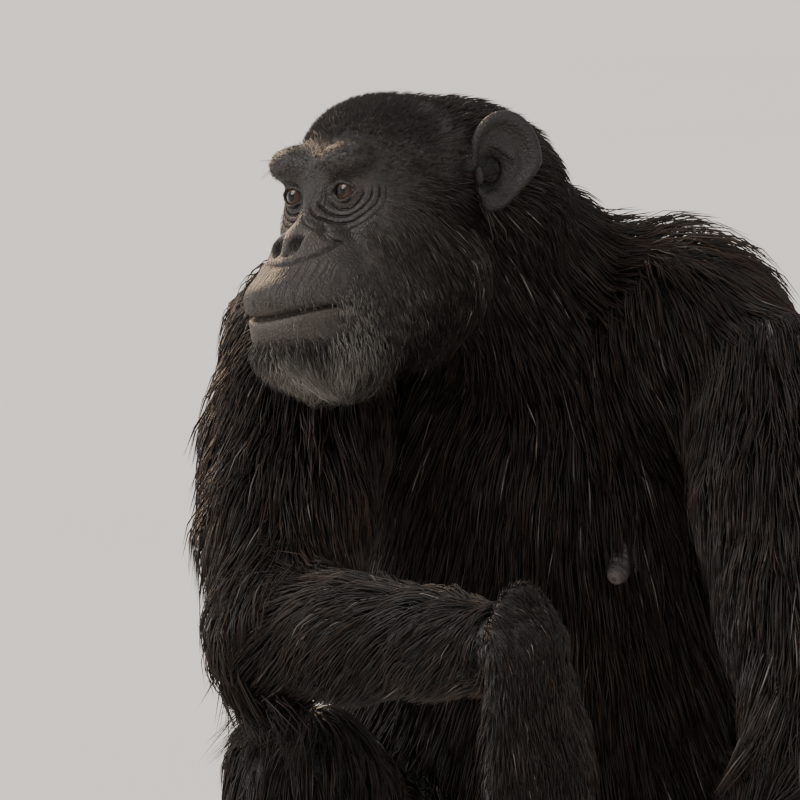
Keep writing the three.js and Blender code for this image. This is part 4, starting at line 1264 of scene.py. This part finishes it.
def furOn(pieceName, members, count, keep=lambda p: 1.0):
    chosen = [partNames.index(member) for member in members]

    def weight(p):
        clear = np.minimum(np.minimum(skullNear(p), headNear(p)), limbEndField(p)) > 2
        return (np.isin(partValues(p).argmin(0), chosen) & clear & (p[:, 2] > 1)) * keep(p)
    roots = scatter(bodySkin, weight, count)
    owner = partValues(roots)[chosen].argmin(0)
    grown = []
    for i, member in enumerate(members):
        mine = roots[owner == i]
        n = len(mine)
        if not n:
            continue
        kind, _, sideName = member.partition("_")
        size = coat[kind]
        length = size["length"] * rng.uniform(0.7, 1.25, n)
        depth = size["depth"] * rng.uniform(0.35, 1.1, n)
        if sideName:
            bone = boneOf(kind, sideName)
            lie, t = boneLie(bone, size["share"], size["hang"]), np.clip(alongBone(mine, bone), 0, 1)
            thinner = 1 - size["fading"] * t * t
            length, depth = length * thinner, depth * thinner
        else:
            bone, lie = bodyMiddle, size["lie"]
        low = smooth(mine[:, 2], 0, 50)
        deeper, longer = inZones(mine)
        length, depth = length * longer * (0.35 + 0.65 * low), depth * deeper * (0.15 + 0.85 * low)
        lift = np.radians(size["lift"]) * rng.uniform(0.5, 1.5, n)
        tufts = growTufts(mine, lie, length, depth, lift, size["droop"], bodyStray)
        grown.append((*tufts, size["width"] * rng.uniform(0.7, 1.3, n), aroundBone(mine, bone)))
    stations, normals, free, width, unwrap = (np.concatenate(several) for several in zip(*grown))
    n = len(stations)
    stations = gather(stations, *locks["body"])
    tuftMesh(pieceName, stations, normals, free, width, rng.random(n), np.zeros(n), unwrap)


furOn("coat_chest", ["torso", "neck"], coatCounts["chest"], lambda p: p[:, 1] < -66)
furOn("coat_back", ["torso", "neck"], coatCounts["back"], lambda p: p[:, 1] >= -66)
for sideName in sides:
    wrist = joint[sideName]["wrist"]
    furOn("coat_arm_" + sideName, ["upperArm_" + sideName, "forearm_" + sideName], coatCounts["arm"],
          lambda p: 2 - smooth(np.linalg.norm(p - wrist, axis=1), 25, 70))
    furOn("coat_leg_" + sideName, ["thigh_" + sideName, "shin_" + sideName], coatCounts["leg"])


# coat of the head; a tuft has its full width when it is as long as full says
headCoat = {
    "head": {"count": 15000, "width": 0.95, "lift": 14, "stray": 0.18, "full": 20, "lie": headLie},
    "cheek": {"count": 16500, "width": 0.56, "lift": 12, "stray": 0.2, "full": 20, "lie": headLie},
    "beard": {"count": 5200, "width": 0.58, "lift": 32, "stray": 0.3, "full": 10, "lie": beardLie},
    "brow": {"count": 900, "width": 0.34, "lift": 20, "stray": 0.35, "full": 6, "lie": browLie},
}
headDroop = 0.03
nearEar = 0.04  # the share of hair that grows on the ear and right round it


def headUnwrap(q):  # round and up the head, about its middle
    return np.stack([turnAbout(q[:, 0], -q[:, 1] - 38),
                     np.arctan2(q[:, 2] + 34, np.hypot(q[:, 0], q[:, 1] + 38)) / math.pi + 0.5], 1)


def headFur(kind, weightOf, lengthOf, depthOf, paleOf):
    size = headCoat[kind]
    roots = scatter(headSkin, lambda p: weightOf(toHead(p)), size["count"])
    q = toHead(roots)
    n = len(roots)
    length = lengthOf(q) * rng.uniform(0.65, 1.3, n)
    depth = depthOf(q) * rng.uniform(0.4, 1.2, n)
    lift = np.radians(size["lift"]) * rng.uniform(0.4, 1.6, n)
    stations, normals, free = growTufts(
        roots, size["lie"], length, depth, lift, headDroop, size["stray"], 2)
    stations = gather(stations, *locks["head"])
    width = size["width"] * rng.uniform(0.7, 1.3, n) * np.clip(0.3 + 0.7 * length / size["full"], 0, 1)
    tuftMesh("coat_" + kind, stations, normals, free, width, rng.random(n), paleOf(q), headUnwrap(q))


def earClear(q):
    away = (halved(q) - head["ear"] - vec(4, 0, 0)) / vec(0.8, 1, 1.2)
    return smooth(np.linalg.norm(away, axis=1), 24, 36)


def thinNearEar(q):
    return nearEar + (1 - nearEar) * earClear(q)


def headWeight(q):
    front = fade(q[:, 1], -66, -44)
    return smooth(faceOval(q), 14, 24) * thinNearEar(q) * (1 - 0.8 * front * smooth(q[:, 2], 5, 25))


def cheekWeight(q):
    top = smooth(q[:, 2], 5, 25)
    reach = smooth(faceOval(q), -6, 8) * fade(faceOval(q), 20, 32)
    bare = 1 - 0.93 * fade(browForm(q), 2, 9)
    return np.maximum(reach, top * fade(q[:, 1], -62, -40)) * thinNearEar(q) * bare * (1 + 0.8 * top)


def headLength(q):
    crown = smooth(q[:, 2], -30, 10)
    back = smooth(q[:, 1], -55, 25)
    low = 10 + 26 * smooth(faceOval(q), 0, 32)
    top = 5 + 23 * back
    return low * (1 - crown) + top * crown


def headDepth(q):
    high = 0.3 + 0.7 * smooth(q[:, 1], -50, 10)
    return 1.6 + 9 * smooth(faceOval(q), 8, 34) * high * (0.3 + 0.7 * earClear(q))


def toCorner(q, x, y, z):  # how far from a corner of the mouth
    return np.hypot(np.hypot(np.abs(q[:, 0]) - x, q[:, 1] - y), (q[:, 2] - z) * 0.8)


def beardWeight(q):  # on the chin, below the lower lip and round the corners of the mouth
    chin = smooth(-q[:, 2], 94, 104) * smooth(-q[:, 1], 78, 96)
    lip = fade(np.abs(q[:, 2] + 76 - np.abs(q[:, 0]) * 0.1), 2, 14) * smooth(-q[:, 1], 105, 120) * 0.10
    return np.maximum(np.maximum(chin, fade(toCorner(q, 40, -112, -84), 6, 24) * 0.8), lip)


def beardPale(q):  # palest along the front of the chin and at the corners of the mouth
    chin = smooth(-q[:, 1], 96, 124) * smooth(-q[:, 2], 100, 116)
    palest = np.maximum(chin, fade(toCorner(q, 38, -116, -88), 8, 30) * 0.7)
    return np.clip(0.1 + 0.85 * palest + 0.5 * (rng.random(len(q)) - 0.5), 0, 1)


headFur("head", headWeight, headLength, headDepth, lambda q: 0.1 * rng.random(len(q)) ** 3)
headFur("cheek", cheekWeight, headLength, headDepth,
        lambda q: (0.08 + 0.25 * rng.random(len(q)) ** 2) * (1 - 0.85 * smooth(q[:, 2], -6, 8)))
headFur("beard", beardWeight, lambda q: 6 + 14 * smooth(-q[:, 2], 84, 112),
        lambda q: 2.5 + 10 * smooth(-q[:, 2], 90, 108), beardPale)
headFur("brow", lambda q: fade(browForm(q), 1, 5) * smooth(q[:, 2], -2, 6),
        lambda q: np.full(len(q), 5.5), lambda q: np.full(len(q), 1.6), lambda q: np.zeros(len(q)))


# bristles: sparse stiff hairs on lips, chin and brows, scattered over the head's skin
bristles = {
    "length": 11, "root": 0.17, "tip": 0.03, "bend": 2.6, "sides": 4, "steps": 3, "scale": (0.5, 1.1),
    "density": 0.035, "lean": vec(0, -0.2, -0.55), "seed": 5, "pale": 0.35,
}


def bristleWeight(q):
    front = smooth(-q[:, 1], 112, 126)
    lips = bell(q[:, 2] + 74, 7) * front + bell(q[:, 2] + 97, 6) * front
    brow = fade(browForm(q), 0.5, 3) * smooth(-q[:, 1], 98, 104) * smooth(q[:, 2], 0, 4)
    return np.clip(lips, 0, 1) + 0.5 * brow


def bristlesFrom(tree):
    start = tree.start
    density = tree.maths("MULTIPLY", start["Density"], tree.attribute("bristles", "FLOAT"))
    scattered = tree.node("GeometryNodeDistributePointsOnFaces", {}, {
        "Mesh": start["Geometry"], "Density": density, "Seed": start["Seed"]}).node.outputs
    leaning = tree.node("ShaderNodeVectorMath", {"operation": "ADD"}, {
        0: scattered["Normal"], 1: start["Lean"]})
    rotation = tree.node("FunctionNodeAlignRotationToVector", {"axis": "Z"}, {
        "Rotation": scattered["Rotation"], "Vector": leaning})
    hair = tree.node("GeometryNodeMeshCone", {"fill_type": "NGON"}, {
        "Vertices": bristles["sides"], "Side Segments": bristles["steps"],
        "Radius Top": start["Tip"], "Radius Bottom": start["Root"], "Depth": start["Length"]})
    height = tree.node("ShaderNodeSeparateXYZ", {}, {0: tree.node("GeometryNodeInputPosition")}, "Z")
    curve = tree.maths("POWER", tree.maths("DIVIDE", height, start["Length"]), 2.0)
    offset = tree.node("ShaderNodeCombineXYZ", {}, {"X": tree.maths("MULTIPLY", curve, start["Bend"])})
    hair = tree.node("GeometryNodeSetPosition", {}, {"Geometry": hair, "Offset": offset})
    least, most = bristles["scale"]
    scale = tree.node("FunctionNodeRandomValue", {"data_type": "FLOAT"}, {
        2: least, 3: most, "Seed": start["Seed"]}, 1)
    tree.finish(scattered["Points"], hair, rotation, scale)


bristleTree = Growth("bristle_growth", {
    "Density": "Float", "Length": "Float", "Root": "Float", "Tip": "Float", "Bend": "Float",
    "Lean": "Vector", "Seed": "Int", "Material": "Material"})
bristlesFrom(bristleTree)
skinCopy = headSkin["object"].data.copy()
layer = skinCopy.attributes.new("bristles", "FLOAT", "POINT")
layer.data.foreach_set("value", bristleWeight(toHead(headSkin["points"])).astype(np.float32))
whiskers = bristleTree.run(
    "coat_bristles", skinCopy, Density=bristles["density"] / mm ** 2, Length=bristles["length"] * mm,
    Root=bristles["root"] * mm, Tip=bristles["tip"] * mm, Bend=bristles["bend"] * mm,
    Lean=tuple(headTurn @ bristles["lean"]), Seed=bristles["seed"], Material=furMade)
each = bristles["sides"] * (bristles["steps"] + 1)
places = np.empty(len(whiskers.data.vertices) * 3, np.float32)
whiskers.data.vertices.foreach_get("co", places)
roots = places.reshape(-1, each, 3).mean(1) / mm
patch = np.tile(rng.uniform(-0.5, 0.5, (each, 2)) * growth["patch"], (len(roots), 1))
around = np.repeat(headUnwrap(toHead(roots)), each, axis=0) + patch
corners = np.empty(len(whiskers.data.loops), np.int32)
whiskers.data.loops.foreach_get("vertex_index", corners)
layer = whiskers.data.uv_layers.new(name="OFBake")
layer.uv.foreach_set("vector", around[corners].astype(np.float32).ravel())
keepNumbers(whiskers, "pale", np.full(len(around), bristles["pale"]))
shown(whiskers)

# coat of the backs of hands and feet, which starts along the limb's own bone
endGrowth = {"lift": 16, "droop": 0.05, "stray": 0.22}
endCoat = {
    "hand": {"count": 4200, "depth": 9, "width": 0.95, "bone": "forearm", "way": vec(0, 1, 0)},
    "foot": {"count": 2400, "depth": 8, "width": 1.0, "bone": "shin", "way": vec(0, 1, -0.2)},
}


def onHandBack(q):
    return fade(q[:, 1], 95, 140) * fade(q[:, 2] - 40 * fade(q[:, 1], -10, 35), -6, 5)


def onFootBack(q):
    return fade(q[:, 1], 70, 160) * smooth(q[:, 1], -42, -8) * smooth(q[:, 2], 20, 32)


def endFur(name, end, weightOf, lengthOf):
    size, part = endCoat[end["kind"]], end["part"]
    bone = boneOf(size["bone"], end["side"])
    roots = scatter(end["skin"], lambda p: weightOf(intoPart(part, p)), size["count"])
    q = intoPart(part, roots)
    n = len(roots)
    length = lengthOf(q) * rng.uniform(0.7, 1.3, n)

    def lie(p):  # from the bone's direction at the joint to that of the digits
        onward = smooth(intoPart(part, p)[:, 1], -34, 14)[:, None]
        return unit(bone[1] - bone[0]) * (1 - onward) + (part["axes"] @ unit(size["way"])) * onward
    depth = size["depth"] * (length / length.max()) * rng.uniform(0.4, 1.1, n)
    lift = np.radians(endGrowth["lift"]) * rng.uniform(0.4, 1.6, n)
    stations, normals, free = growTufts(
        roots, lie, length, depth, lift, endGrowth["droop"], endGrowth["stray"], 2)
    stations = gather(stations, *locks["limbEnd"])
    unwrap = np.stack([turnAbout(q[:, 0], q[:, 2]), (q[:, 1] + 60) / 320], 1)
    width = size["width"] * rng.uniform(0.7, 1.3, n)
    tuftMesh(name, stations, normals, free, width, rng.random(n), np.zeros(n), unwrap)


for name, end in limbEnds.items():
    if end["kind"] == "hand":
        endFur("coat_" + name, end, onHandBack,
               lambda q: (9 + 26 * fade(q[:, 1], 40, 125)) * (0.4 + 0.6 * smooth(q[:, 1], -5, 45)))
    else:
        endFur("coat_" + name, end, onFootBack, lambda q: 9 + 16 * fade(q[:, 1], 10, 90))


# floor and light: each light's direction, angle, power and colour
studio = {
    "corners": [(-90000, -30000, 0), (60000, -30000, 0), (60000, 120000, 0), (-90000, 120000, 0)],
    "paper": ((0.70, 0.69, 0.67), (0.72, 0.71, 0.69)), "paperRoughness": 0.85,
    "lights": {"key": ((2.6, 1.9, -2.0), 35, 2.6, (1, 1, 1)),
               "fill": ((-2.8, 3.2, -1.2), 60, 0.8, (1, 1, 1)),
               "rim": ((2.3, -1.9, -1.2), 14, 2.4, (1, 0.7, 0.45))},
    "sky": (0.78, 0.79, 0.8, 1), "skyStrength": 0.9,
}
look = Look("floor_paper", Roughness=studio["paperRoughness"])
look.feed("Base Color", look.mixed(look.noise(0.4).between(0.3, 0.7), *studio["paper"]))
meshPiece("floor", vec(*studio["corners"]), np.array([[0, 1, 2, 3]]), look.material, False)
for name, (towards, angle, power, colour) in studio["lights"].items():
    data = bpy.data.lights.new(name, "SUN")
    data.angle, data.energy, data.color = math.radians(angle), power, colour
    lamp = link(bpy.data.objects.new(name, data))
    lamp.rotation_euler = Vector(towards).to_track_quat("-Z", "Y").to_euler()
world = bpy.data.worlds.new("studio")
world.use_nodes = True
sky = world.node_tree.nodes["Background"].inputs
sky["Color"].default_value, sky["Strength"].default_value = studio["sky"], studio["skyStrength"]
bpy.context.scene.world = world
print("studio ready")

print("all pieces ready")
